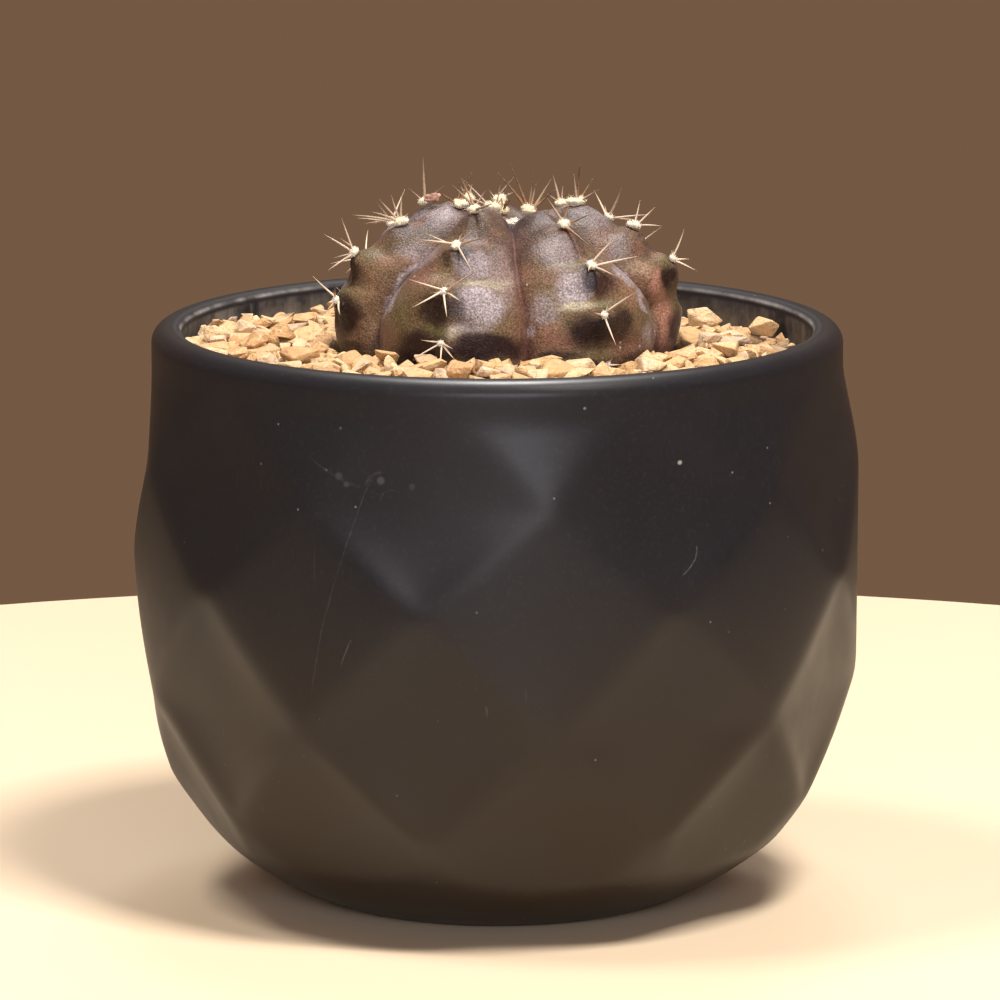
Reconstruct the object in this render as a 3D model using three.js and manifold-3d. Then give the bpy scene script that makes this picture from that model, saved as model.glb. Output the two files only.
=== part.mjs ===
// Potted round cactus: a seven-ribbed globe cactus in a diamond-relief ceramic pot.
// Millimetres, +Z up. Origin: centre of the pot's foot, on the surface it stands on.
// +X is to the right and -Y towards the viewer of the pot's front.
import * as THREE from "three";
import { mergeVertices } from "three/addons/utils/BufferGeometryUtils.js";
import { ConvexGeometry } from "three/addons/geometries/ConvexGeometry.js";
import Module from "manifold-3d";

// ---------------------------------------------------------------- driving dimensions (mm, degrees)
const POT_HEIGHT = 91.6;
const RIM_OUTER_R = 55.0;
const RIM_INNER_R = 50.2;
const FACET_COUNT = 9; // diamonds around the pot
const FACET_PHASE = 8.35; // azimuth of one upper diamond's axis
const COLLAR_Z = 84.3; // the relief ends here, the plain collar starts
// Rings of relief vertices. A, C and the bottom ring share one phase, B and D sit half a pitch away.
const RING_A = { z: 71.7, r: 57.65 };
const RING_B = { z: 54.8, r: 58.2 };
const RING_C = { z: 35.2, r: 57.45 };
const RING_D = { z: 16.8, r: 52.1 };
// Radius on the axis of the facet that spans a ring
const MID_A = 55.4;
const MID_B = 57.6;
const MID_C = 54.3;
const MID_D = 48.2;
const LOW_Z = 8.0; // where the lowest facets run into the rounded base
const LOW_MID_R = 43.6;
const LOW_EDGE_R = 45.5;
const EDGE_SAG = 0.25;
// Rounded base, radius against height
const BOWL = [[0, 28.5], [2, 33.6], [5, 38.9], [10, 45.6], [15, 49.8], [20, 53.3], [120, 160]];
const FOOT_R = 28.5;
const FOOT_INNER_R = 22.5;
const RECESS_Z = 1.6;
const FLOOR_Z = 6.0;
const DRAIN_R = 5.0;

const FIT_GAP = 0.35; // clearance between neighbouring pieces
const SOIL_TOP_Z = 79.0;
const GRAVEL_BASE_Z = 79.4;
const GRAVEL_TOP_Z = 86.9;
const GAP_DEPTH = 1.6; // a gap between the stones below one low areole
const GRAVEL_FRONT_RISE = 0.6; // the stones are heaped a little in front of the plant
const GRAVEL_LEFT_RISE = 1.2; // and more on its left

const STEM_X = 1.95; // the plant stands a little off the pot's axis
const STEM_Y = 0.5;
// Rib crests and the groove after each, counterclockwise: azimuth near the crown and at the foot
const CREST_TOP = [31.4, 83, 134, 189, 237, 288.6, 338];
const CREST_LOW = [35.0, 98, 136, 189, 236, 281.0, 338];
const GROOVE_TOP = [54.5, 108.5, 161.5, 213, 262.8, 314.0, 363.0];
const GROOVE_LOW = [74.0, 118.0, 163.5, 212.5, 259.5, 299.5, 366.5];
// Rib crest and groove, radius and height from the crown down to the root tip
const CREST = [
  [0, 106.6], [2.5, 107.8], [5.5, 109.6], [9, 110.7], [12.5, 110.5], [16.2, 109.1], [19.8, 107.3], [23.2, 104.9],
  [25.7, 102.3], [27.3, 99.3], [28.1, 96.2], [28.3, 93.0], [27.9, 89.8], [26.8, 86.8], [24.9, 83.9], [22.0, 81.3],
  [18, 79.3], [13, 77.6], [9, 75.6], [6.5, 72.5], [5.2, 68.5], [4.2, 65.0],
];
const GROOVE = [
  [0, 106.6], [2.2, 106.7], [4.6, 107.0], [7.4, 107.1], [10.6, 106.6], [13.8, 105.4], [16.7, 103.7], [19.1, 101.6],
  [21.0, 99.1], [22.2, 96.4], [22.9, 93.6], [23.1, 91.0], [22.9, 88.4], [22.3, 85.8], [21.2, 83.4], [19.5, 81.2],
  [16.6, 79.3], [12.6, 77.6], [9, 75.6], [6.5, 72.5], [5.2, 68.5], [4.2, 65.0],
];
const ROOT_TIP_Z = 63.9;
const FRONT_RIB_LIFT = 1.7; // the front left rib swells higher than the rest
const BACK_RIB_DROP = 1.4; // the back right rib is lower at the crown
const REAR_RIB_DROP = 1.8; // and so is the rear one
const RIGHT_RIB_SHRINK = 0.45; // the right rib is the slimmest
const RIGHT_RIB_WAIST = 0.95; // and drawn in under its upper step
const LEFT_SHOULDER = 1.0; // the left rib is fuller near the crown
const NOTCH = [0, 0.95, 1.25, 1.15, 0.7, 0]; // depth of the crease above an areole, by its place on the rib
const NOTCH_UP = 2.7; // how far above the areole the crease lies
const SWELL = { left_3: 1.0, left_2: 0.5 }; // steps that stand out further than the rib's profile
const CUSHION_R = 1.2; // areole wool cushion
const CUSHION_H = 0.85;
const SPINE_BASE_R = 0.34;

// Areoles: name, point on the stem, outward normal, and the tip of each spine from the cushion's centre
const AREOLES = [
  ["left_2", [-25.05, -8.58, 96.74], [-0.936, -0.315, 0.157], [[-2.95, 0.68, 3.6], [-0.75, -0.95, -1.81], [1.5, -6.42, -1.43]]],
  ["left_3", [-22.15, -7.6, 103.95], [-0.765, -0.257, 0.591], [[-1.5, 0.98, 4.9], [-4.3, 0.52, 2.4], [-3.7, -2.18, -3.05], [-2.9, -0.18, -1.35]]],
  ["left_4", [-15.11, -5.24, 108.2], [-0.381, -0.128, 0.916], [[-7.36, 0.1, 0.53], [-4.35, 0.19, 1], [-3.09, 0.56, 3.02], [-1.19, 0.68, 3.64], [0.55, 0.68, 3.64]]],
  ["front_left_1", [-8.63, -25.68, 92.72], [-0.374, -0.927, -0.031], [[-2.78, -0.22, 0.74], [-3.87, -0.39, -2.09], [0.18, -1.63, -3.29], [2.52, -2.95, -1.93], [2.21, -2.39, -0.29]]],
  ["front_left_2", [-8.09, -24.35, 100.58], [-0.349, -0.863, 0.366], [[-5.37, 0.12, 1.75], [-4.75, -1.93, -2.47], [0.71, -4.68, -3.55], [2.89, -4.17, -1.11], [5.7, -4.76, 3.92]]],
  ["front_left_3", [-6.25, -19.79, 106.88], [-0.242, -0.599, 0.763], [[-4.72, 0.27, 1.44], [-5.81, -1.11, 0.59], [3.57, -1.46, 2.56], [4.82, -5.11, 1.49], [2.79, -6.46, -3.83]]],
  ["front_left_4", [-3.49, -12.96, 111.38], [-0.15, -0.372, 0.916], [[-3.4, 0.6, 3.24], [-1.98, 0.8, 4.32], [1.94, 0.46, 2.46], [2.88, -5.33, 1.14]]],
  ["front_right_1", [17.1, -22.3, 88.7], [0.56, -0.80, -0.20], [[-1.4, -1.2, 0.5], [1.6, -1.0, 0.6], [0.2, -1.7, -0.7], [-1.0, -1.4, -0.5], [1.2, -1.3, -0.5], [0.1, -1.2, 1.4]]],
  ["front_right_2", [16.52, -23.36, 96.76], [0.515, -0.843, 0.157], [[4.56, 0.55, 3.52], [1.43, -2.66, -4.46], [-2.16, -3.09, 0.87]]],
  ["front_right_3", [14.59, -20.2, 103.8], [0.337, -0.552, 0.763], [[3.61, 0.72, 3.86], [7.21, 0.12, 0.95], [3.45, -4.51, -1.53], [-0.77, -5.49, -0.55]]],
  ["front_right_4", [10.39, -13.33, 109.1], [0.209, -0.343, 0.916], [[-2.79, 0.65, 3.49], [0.82, 0.53, 2.88], [4.12, 0.04, 1.05], [3.96, -6.73, -3.12]]],
  ["front_right_5", [5.24, -4.88, 109.85], [-0.212, 0.348, 0.913], [[-4.98, 1.02, 5.47], [-2.93, 1.25, 6.71], [0.71, 0.93, 5], [1.18, 0.67, 3.6], [3.55, 0.81, 4.37], [4.34, 0.52, 2.82]]],
  ["right_1", [27.6, 7.41, 92.25], [0.9, 0.38, 0.21], [[0.2, 3.2, -1.4], [-0.2, 3.0, 1.2], [-0.4, 1.9, 2.2], [0.6, 1.8, -2.4]]],
  ["right_2", [27.51, -2.64, 102.21], [0.801, -0.098, 0.591], [[1.17, 0.77, 4.15], [1.96, -0.1, -0.53], [3.22, -0.49, -2.39]]],
  ["right_3", [21.68, -1.92, 107.24], [0.511, -0.063, 0.857], [[0.36, 0.62, 3.35], [2.74, 0.42, 2.26], [3.85, -0.13, -0.7]]],
  ["back_right_4", [10.3, 10.9, 108.62], [-0.05, 0.2, 0.98], [[-1.3, 1.0, 3.8], [0.3, 1.4, 2.0], [2.2, 1.6, 0.7], [-2.4, 1.2, 0.9]]],
  ["back_right_3", [17.77, 15.78, 105.75], [0.465, 0.449, 0.763], [[4.21, 2.87, -1.35], [-1, 5.55, 0.7], [6.23, -0.17, -0.02], [-2.74, 2.8, 3.45], [1.58, -3.11, 4.71]]],
  ["back_right_2", [21.3, 19.19, 100.04], [0.669, 0.646, 0.366], [[3.6, 2.73, -4.27], [-1.09, 5.29, -0.65], [5.16, -0.96, -1.13], [-1.34, 3.24, 3.77], [4.3, -1.93, 3.86]]],
  ["back_right_1", [22.22, 20.08, 92.05], [0.719, 0.694, -0.031], [[2.41, 1.22, -3.38], [-0.57, 4.35, -2.11], [3.97, -0.32, -2.94], [0.5, 3.09, 2.56]]],
  ["back_4", [0.4, 9.6, 108.9], [-0.02, 0.05, 0.99], [[-1.7, 0.3, 1.5], [0.1, 0.3, 2.2], [1.5, 0.2, 1.1]]],
  ["back_3", [-1.21, 20.48, 107], [-0.08, 0.508, 0.857], [[-0.8, 4.33, -0.47], [-4.4, 3.12, 0.58], [4.32, 5.68, 0.81], [-4.16, -1.3, 3.72], [4.03, -0.58, 4.09]]],
  ["back_2", [-2.11, 26.16, 101.78], [-0.126, 0.797, 0.591], [[-1.53, 4.51, -2.56], [-6.05, 3.34, -0.52], [4.13, 5.03, -0.89], [-3.16, -0.21, 3.78], [3.37, 1.23, 3.03]]],
  ["back_1", [-2.47, 28.39, 93.97], [-0.156, 0.987, -0.031], [[0.55, 2.12, -4.62], [-4.62, 2.04, -3.83], [4.77, 3.7, -2.8], [-3.86, 1.73, 1.58], [3.08, 3.02, 2.23]]],
  ["back_left_5", [-4.71, 4.83, 110.35], [0.107, -0.069, 0.992], [[0.6, 1.2, 1.6], [-0.8, 0.7, 1.7], [-1.3, -0.2, 1.5]]],
  ["back_left_4", [-11.41, 9.17, 109.2], [-0.337, 0.219, 0.916], [[-0.02, 1.18, 6.33], [-2.42, 0.3, 1.62], [3.33, 0.36, 1.93]]],
  ["back_left_3", [-16.69, 12.61, 105.59], [-0.542, 0.352, 0.763], [[-4.04, 4.26, -1.5], [-5.14, -1.65, 0.3], [-1.61, 7.1, -0.12], [-1.92, -2.89, 2.96], [2.54, 2.38, 4.37]]],
  ["back_left_2", [-20.79, 15.27, 99.65], [-0.78, 0.507, 0.366], [[-2.92, 2.28, -3.52], [-5.09, -2.08, -1.08], [-1.3, 6.44, -2.88], [-3.43, -2.39, 3.11], [0.88, 4.61, 3.39]]],
  ["back_left_1", [-21.64, 15.82, 91.66], [-0.838, 0.544, -0.031], [[-2.16, 1.18, -3.3], [-4.13, -1.74, -1.2], [-0.11, 5.63, -1.52], [-3.3, 0.11, 3.13]]],
  ["left_5", [-6.1, -2.6, 110.47], [0.12, 0.04, 0.99], [[-3.85, -0.98, 1.8], [-0.05, 0.5, 2.95], [2.0, 0.79, 4.5]]],
  ["front_left_5", [-0.49, -5.53, 110.37], [0.153, 0.378, 0.913], [[-0.9, 0.6, 1.5], [0.6, 0.4, 1.7], [1.1, 0.9, 0.9]]],
  ["right_4", [12.5, -0.84, 110.64], [0.2, 0.05, 0.98], [[0.3, -0.6, 5.5], [-0.6, -0.3, 4.0], [3.4, -1.2, 1.6], [2.5, 2.2, 2.9]]],
  ["back_5", [1.11, 5.83, 108.3], [0.064, -0.402, 0.913], [[0.9, 0.2, 1.3], [-0.6, 0.5, 1.6], [0.3, -0.8, 1.4]]],
];

// Loose chips: x, y, size, turn, flatness
const CHIPS = [
  [-44.6, 2.4, 5.4, 20, 0.7], [-40.1, 8.7, 4.8, 100, 0.6], [-38.6, -6.3, 5.6, 10, 0.55], [-34.2, 1.5, 5.8, 60, 0.6],
  [-31.3, -7.3, 3.8, 90, 0.8], [-28.6, -13.2, 4.6, 15, 0.7], [-31.0, -20.5, 7.8, 5, 0.45], [-23.2, -20.2, 6.8, 25, 0.45],
  [-21.0, -28.5, 5.0, 150, 0.6], [-15.8, -28.6, 3.4, 70, 0.8], [-6.6, -29.8, 3.6, 90, 1.0], [-1.8, -32.0, 3.8, 0, 0.95],
  [4.7, -33.2, 4.6, 20, 0.7], [12.0, -34.6, 6.4, 0, 0.5], [19.9, -31.5, 4.2, 40, 0.8], [27.6, -25.5, 5.2, -20, 0.6],
  [36.0, -9.5, 6.4, 60, 0.6], [34.8, 1.6, 6.2, 20, 0.6], [34.0, 17.9, 7.0, -15, 0.7], [42.2, 12.2, 7.0, 10, 0.6],
  [-25.0, 33.0, 6.6, 30, 0.5],
];

// ---------------------------------------------------------------- small helpers
const rad = (d) => (d * Math.PI) / 180;
const mod = (a, n) => ((a % n) + n) % n;
const clamp = (x, a, b) => Math.min(b, Math.max(a, x));

// Seeded noise source, so every run gives the same stones
function makeRandom(seed) {
  let s = seed >>> 0;
  return () => {
    s = (s + 0x6d2b79f5) >>> 0;
    let t = s;
    t = Math.imul(t ^ (t >>> 15), t | 1);
    t ^= t + Math.imul(t ^ (t >>> 7), t | 61);
    return ((t ^ (t >>> 14)) >>> 0) / 4294967296;
  };
}

function geometryFrom(positions, triangles) {
  const g = new THREE.BufferGeometry();
  g.setAttribute("position", new THREE.Float32BufferAttribute(positions, 3));
  g.setIndex(triangles);
  g.computeVertexNormals();
  return g;
}

// A body built from rings of points. A row is an array of [x, y, z] (one per column) or a single pole point.
// closed joins the last row to the first. pick(i, j) may choose the other diagonal of a quad.
function ringBody(rows, closed, pick = null) {
  const positions = [];
  const index = rows.map((row) => {
    const start = positions.length / 3;
    for (const p of row) positions.push(p[0], p[1], p[2]);
    return { start, n: row.length };
  });
  const tris = [];
  const count = closed ? rows.length : rows.length - 1;
  for (let i = 0; i < count; i++) {
    const a = index[i];
    const b = index[(i + 1) % rows.length];
    const n = Math.max(a.n, b.n);
    for (let j = 0; j < n; j++) {
      const k = (j + 1) % n;
      const a0 = a.start + (a.n === 1 ? 0 : j);
      const a1 = a.start + (a.n === 1 ? 0 : k);
      const b0 = b.start + (b.n === 1 ? 0 : j);
      const b1 = b.start + (b.n === 1 ? 0 : k);
      if (a.n === 1) tris.push(a0, b1, b0);
      else if (b.n === 1) tris.push(a0, a1, b0);
      else if (pick && pick(i, j)) tris.push(a0, a1, b1, a0, b1, b0);
      else tris.push(a0, a1, b0, a1, b1, b0);
    }
  }
  return geometryFrom(positions, tris);
}

// azimuth 0 faces -Y (the front), growing towards +X
const polar = (azDeg, r, z, cx = 0, cy = 0) => [cx + r * Math.sin(rad(azDeg)), cy - r * Math.cos(rad(azDeg)), z];

// quadratic through three points
function through(z, [z1, y1], [z2, y2], [z3, y3]) {
  return (
    (y1 * (z - z2) * (z - z3)) / ((z1 - z2) * (z1 - z3)) +
    (y2 * (z - z1) * (z - z3)) / ((z2 - z1) * (z2 - z3)) +
    (y3 * (z - z1) * (z - z2)) / ((z3 - z1) * (z3 - z2))
  );
}

function table(z, rows) {
  for (let i = 0; i < rows.length - 1; i++) {
    if (z <= rows[i + 1][0]) {
      const s = clamp((z - rows[i][0]) / (rows[i + 1][0] - rows[i][0]), 0, 1);
      return rows[i][1] + (rows[i + 1][1] - rows[i][1]) * s;
    }
  }
  return rows[rows.length - 1][1];
}

// ---------------------------------------------------------------- the pot
// Outer radius at an azimuth and height: shallow diamonds between the rings, one row turned half a pitch from the next
function potRadius(az, z) {
  const pitch = 360 / FACET_COUNT;
  const half = pitch / 2;
  const te = Math.abs(mod(az - FACET_PHASE + half, pitch) - half);
  const to = half - te;
  const facet = (x, width, mid, edge) => mid + (edge - mid) * clamp(x / Math.max(width, 1e-3), 0, 1) ** 2;
  const edge = (z1, r1, z2, r2, sag) => {
    const s = (z - z1) / (z2 - z1);
    return r1 + (r2 - r1) * s - sag * 4 * s * (1 - s);
  };
  const A = RING_A, B = RING_B, C = RING_C, D = RING_D;
  if (z >= COLLAR_Z) return RIM_OUTER_R;
  let r;
  if (z >= A.z) {
    const w = (half / 2) * ((z - A.z) / (COLLAR_Z - A.z));
    const e = edge(A.z, A.r, COLLAR_Z, RIM_OUTER_R + 0.1, EDGE_SAG / 2);
    const up = A.r + ((RIM_OUTER_R - A.r) * (z - A.z)) / (COLLAR_Z - A.z);
    const lo = through(z, [B.z, B.r], [A.z, MID_A], [COLLAR_Z, RIM_OUTER_R]);
    r = te < w ? facet(te, w, up, e) : facet(to, half - w, lo, e);
  } else if (z >= B.z) {
    const w = (half * (A.z - z)) / (A.z - B.z);
    const e = edge(A.z, A.r, B.z, B.r, EDGE_SAG);
    const c = through(z, [A.z, A.r], [B.z, MID_B], [C.z, C.r]);
    const b = through(z, [B.z, B.r], [A.z, MID_A], [COLLAR_Z, RIM_OUTER_R]);
    r = te < w ? facet(te, w, c, e) : facet(to, half - w, b, e);
  } else if (z >= C.z) {
    const w = (half * (z - C.z)) / (B.z - C.z);
    const e = edge(B.z, B.r, C.z, C.r, EDGE_SAG);
    const c = through(z, [A.z, A.r], [B.z, MID_B], [C.z, C.r]);
    const d = through(z, [B.z, B.r], [C.z, MID_C], [D.z, D.r]);
    r = te < w ? facet(te, w, c, e) : facet(to, half - w, d, e);
  } else if (z >= D.z) {
    const w = (half * (C.z - z)) / (C.z - D.z);
    const e = edge(C.z, C.r, D.z, D.r, EDGE_SAG / 2);
    const f = through(z, [C.z, C.r], [D.z, MID_D], [LOW_Z, LOW_MID_R]);
    const d = through(z, [B.z, B.r], [C.z, MID_C], [D.z, D.r]);
    r = te < w ? facet(te, w, f, e) : facet(to, half - w, d, e);
  } else {
    const e = edge(D.z, D.r, LOW_Z, LOW_EDGE_R, 0);
    const f = through(z, [C.z, C.r], [D.z, MID_D], [LOW_Z, LOW_MID_R]);
    r = facet(te, half, f, e);
  }
  return Math.min(r, table(z, BOWL));
}

function buildPot() {
  const N = FACET_COUNT * 6;
  const col = (j) => FACET_PHASE + (360 * j) / N;
  const levels = [0, 2, 5, 8.5, 12.2, RING_D.z];
  const span = (z1, z2, n) => {
    for (let i = 1; i <= n; i++) levels.push(z1 + ((z2 - z1) * i) / n);
  };
  span(RING_D.z, RING_C.z, 3);
  span(RING_C.z, RING_B.z, 3);
  span(RING_B.z, RING_A.z, 3);
  levels.push(RING_A.z + (COLLAR_Z - RING_A.z) * 0.667, COLLAR_Z, 88.4);
  const fns = levels.map((z) => ({ z, r: (az) => potRadius(az, z), outer: true }));
  const fixed = (r, z) => fns.push({ z, r: () => r, outer: false });
  // rounded lip, inner wall, floor, drainage hole, foot recess
  fixed(54.5, 90.2);
  fixed(53.5, 91.25);
  fixed(52.2, POT_HEIGHT);
  fixed(51.0, 91.15);
  fixed(50.35, 90.1);
  fixed(RIM_INNER_R, 88.4);
  fixed(50.5, 79);
  fixed(51.4, 62);
  fixed(51.2, 46);
  fixed(49.2, 32);
  fixed(44.8, 20);
  fixed(38.0, 12);
  fixed(30.0, 7.6);
  fixed(22.0, FLOOR_Z);
  fixed(DRAIN_R, FLOOR_Z);
  fixed(DRAIN_R, RECESS_Z);
  fixed(FOOT_INNER_R - 0.9, RECESS_Z);
  fixed(FOOT_INNER_R, 0);
  const rows = fns.map((f) => {
    const row = [];
    for (let j = 0; j < N; j++) row.push(polar(col(j), f.r(col(j)), f.z));
    return row;
  });
  // follow the relief's edges with the diagonals
  const pick = (i, j) => {
    const f = fns[i], g = fns[(i + 1) % fns.length];
    if (!f.outer || !g.outer) return false;
    const c0 = col(j), c1 = col(j + 1);
    const mid = potRadius((c0 + c1) / 2, (f.z + g.z) / 2);
    const d1 = Math.abs((f.r(c0) + g.r(c1)) / 2 - mid);
    const d2 = Math.abs((f.r(c1) + g.r(c0)) / 2 - mid);
    return d1 < d2;
  };
  return ringBody(rows, true, pick);
}

// ---------------------------------------------------------------- the plant
const smooth = (a, b, x) => {
  const f = clamp((x - a) / (b - a), 0, 1);
  return f * f * (3 - 2 * f);
};
const bell = (az, centre, width) => Math.exp(-(((mod(az - centre + 180, 360) - 180) / width) ** 2));

// Azimuth of rib i's crest, and of the groove after it, at a profile row
const between = (low, top, i, w) => top[mod(i, 7)] * (1 - w) + low[mod(i, 7)] * w;
const crestAt = (i, row) => between(CREST_LOW, CREST_TOP, i, smooth(8.5, 12, row));
const grooveAt = (i, row) => between(GROOVE_LOW, GROOVE_TOP, i, smooth(5.6, 10.4, row));

// A profile's point at a row, also between two rows
function profile(table, row) {
  const n = table.length;
  const i = clamp(Math.floor(row), 0, n - 2), f = row - i;
  const [a, b, c, d] = [table[Math.max(i - 1, 0)], table[i], table[i + 1], table[Math.min(i + 2, n - 1)]];
  return [0, 1].map((k) => 0.5 * (2 * b[k] + (c[k] - a[k]) * f + (2 * a[k] - 5 * b[k] + 4 * c[k] - d[k]) * f * f + (3 * b[k] - a[k] - 3 * c[k] + d[k]) * f ** 3));
}

// Columns of the stem as pairs of rib and phase, -1 in the groove before the crest, 0 on it
const STEM_PER_RIB = 8;
const stemColumns = [];
for (let i = 0; i < 7; i++) for (let k = -STEM_PER_RIB / 2; k < STEM_PER_RIB / 2; k++) stemColumns.push([i, k / (STEM_PER_RIB / 2)]);

function columnAzimuth([i, phase], row) {
  const c = crestAt(i, row);
  const half = phase < 0 ? mod(c - grooveAt(i - 1, row), 360) : mod(grooveAt(i, row) - c, 360);
  return c + phase * half;
}

function stemPoint(column, row, grow = 0) {
  const az = columnAzimuth(column, row);
  const u = Math.abs(column[1]);
  // a fairly sharp crest, rounded only close to the groove
  const s = 0.62 * (1 - u ** 1.3) + 0.38 * (1 - u ** 3.5) ** 0.7;
  const crest = profile(CREST, row), groove = profile(GROOVE, row);
  const upper = 1 - smooth(9.5, 11, row);
  const lift =
    FRONT_RIB_LIFT * Math.exp(-(((crest[0] - 16) / 8.5) ** 2)) * bell(az, -22, 17) * upper -
    (BACK_RIB_DROP * bell(az, 134, 26) + REAR_RIB_DROP * bell(az, 189, 24)) * Math.exp(-(((crest[0] - 9) / 7) ** 2)) * upper;
  let r = groove[0] + (crest[0] - groove[0]) * s;
  r -= bell(az, 92, 26) * (RIGHT_RIB_SHRINK * smooth(8.5, 10, row) + RIGHT_RIB_WAIST * Math.exp(-(((row - 9.9) / 0.75) ** 2))) * (1 - smooth(14, 16, row));
  r += bell(az, 284, 22) * LEFT_SHOULDER * Math.exp(-(((row - 6.3) / 0.7) ** 2));
  let z = groove[1] + (crest[1] - groove[1]) * s + lift;
  if (grow) {
    // push outwards along the crest's profile normal
    const p = profile(CREST, Math.max(0, row - 1)), q = profile(CREST, Math.min(CREST.length - 1, row + 1));
    const tx = q[0] - p[0], tz = q[1] - p[1];
    const l = Math.hypot(tx, tz);
    r += (-tz / l) * grow;
    z += (tx / l) * grow;
  }
  return polar(az, r, z, STEM_X, STEM_Y);
}

// Every areole sits on the outer corner of a step: the crease above it runs across the rib
function notched(p, phase) {
  const dot = (a, b) => a[0] * b[0] + a[1] * b[1] + a[2] * b[2];
  const unit = (a) => a.map((v) => v / Math.hypot(...a));
  let depth = 0, push = [0, 0, 0];
  const swell = [0, 0, 0];
  for (const [name, at, normal] of AREOLES) {
    const n = unit(normal);
    let down = [n[0] * n[2], n[1] * n[2], n[2] * n[2] - 1];
    if (Math.hypot(...down) < 0.35) {
      const out = unit([at[0] - STEM_X, at[1] - STEM_Y, 0]);
      down = out.map((v, k) => v - n[k] * dot(out, n));
    }
    down = unit(down);
    const side = [n[1] * down[2] - n[2] * down[1], n[2] * down[0] - n[0] * down[2], n[0] * down[1] - n[1] * down[0]];
    const rel = p.map((v, k) => v - at[k]);
    const along = dot(rel, down) + NOTCH_UP, off = dot(rel, n) / 6;
    if (SWELL[name]) {
      const w = SWELL[name] * Math.exp(-(off ** 2) - ((dot(rel, down) - 0.6) / 2.4) ** 2 - (dot(rel, side) / 3.6) ** 2);
      n.forEach((v, k) => (swell[k] += v * w));
    }
    const d = NOTCH[Number(name.slice(-1))] * Math.exp(-(off ** 2) - (along / (along < 0 ? 2.6 : 1.2)) ** 2 - (dot(rel, side) / 5) ** 2);
    if (d > depth) [depth, push] = [d, n];
  }
  depth *= 1 - Math.abs(phase) ** 3;
  return p.map((v, k) => v - push[k] * depth + swell[k]);
}

function buildStem() {
  const rows = [[[STEM_X, STEM_Y, ROOT_TIP_Z]]];
  for (let i = CREST.length - 1; i >= 13; i--) rows.push(stemColumns.map((c) => stemPoint(c, i)));
  for (let i = 12; i >= 3; i -= 0.5) rows.push(stemColumns.map((c) => notched(stemPoint(c, i), c[1])));
  for (const i of [2, 1]) rows.push(stemColumns.map((c) => stemPoint(c, i)));
  rows.push([[STEM_X, STEM_Y, CREST[0][1]]]);
  return ringBody(rows, false);
}

// ---------------------------------------------------------------- soil and gravel
function buildSoil() {
  const N = 36;
  const ring = (r, z, cx = 0, cy = 0) => {
    const row = [];
    for (let j = 0; j < N; j++) row.push(polar((360 * j) / N, r, z, cx, cy));
    return row;
  };
  const S = (r, z) => ring(r, z, STEM_X, STEM_Y);
  const rows = [
    [[0, 0, FLOOR_Z + 0.4]],
    ring(21.4, FLOOR_Z + 0.4), ring(29.3, 8.2), ring(37.2, 12.6), ring(44.0, 20.5), ring(48.4, 32.4),
    ring(50.5, 46.2), ring(50.8, 62), ring(49.95, SOIL_TOP_Z),
    S(30, SOIL_TOP_Z), S(18.6, SOIL_TOP_Z - 0.4), S(13.4, 76.9), S(9.5, 75.0), S(7.1, 72.2), S(5.75, 68.2), S(4.75, 64.6),
    [[STEM_X, STEM_Y, ROOT_TIP_Z - 0.6]],
  ];
  return ringBody(rows, false);
}

function gravelTop(x, y) {
  return (
    GRAVEL_TOP_Z +
    GRAVEL_FRONT_RISE * clamp((-y - 5) / 20, 0, 1) +
    GRAVEL_LEFT_RISE * clamp((-x - 20) / 12, 0, 1) * clamp((y + 24) / 14, 0, 1) -
    GAP_DEPTH * Math.exp(-(((x - 18.2) / 4) ** 2) - ((y + 24.5) / 4) ** 2) +
    0.35 * Math.sin(x * 0.83 + 1.3) * Math.cos(y * 0.71 - 0.4) +
    0.25 * Math.sin(x * 1.7 - y * 1.3) -
    0.9 * clamp((Math.hypot(x, y) - 38) / 12, 0, 1)
  );
}

function buildGravelBed() {
  const inner = (i, z = null) =>
    stemColumns.map((c) => {
      const p = stemPoint(c, i, FIT_GAP + 0.1);
      return z === null ? p : [p[0], p[1], z];
    });
  const wall = (z) => stemColumns.map((column) => {
    // the same columns, carried out to the pot's own axis
    const az = columnAzimuth(column, 13);
    const s = Math.sin(rad(az)), c = -Math.cos(rad(az));
    const b = STEM_X * s + STEM_Y * c;
    const R = 49.8;
    const t = -b + Math.sqrt(b * b - (STEM_X ** 2 + STEM_Y ** 2 - R * R));
    return [STEM_X + s * t, STEM_Y + c * t, z];
  });
  const rim = inner(13);
  const out = wall(0);
  const top = (f) =>
    rim.map((p, j) => {
      const x = p[0] + (out[j][0] - p[0]) * f;
      const y = p[1] + (out[j][1] - p[1]) * f;
      return [x, y, f === 0 ? p[2] : gravelTop(x, y)];
    });
  const rows = [wall(GRAVEL_BASE_Z)];
  rows.push(out.map((p) => [p[0], p[1], gravelTop(p[0], p[1])]));
  for (const f of [0.8, 0.6, 0.4, 0.2, 0.06]) rows.push(top(f));
  rows.push(inner(13), inner(14), inner(15), inner(15).map((p, j) => {
    const q = stemPoint(stemColumns[j], 16, FIT_GAP + 0.5);
    return [p[0] * 0.35 + q[0] * 0.65, p[1] * 0.35 + q[1] * 0.65, GRAVEL_BASE_Z];
  }));
  return ringBody(rows, true);
}

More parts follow.
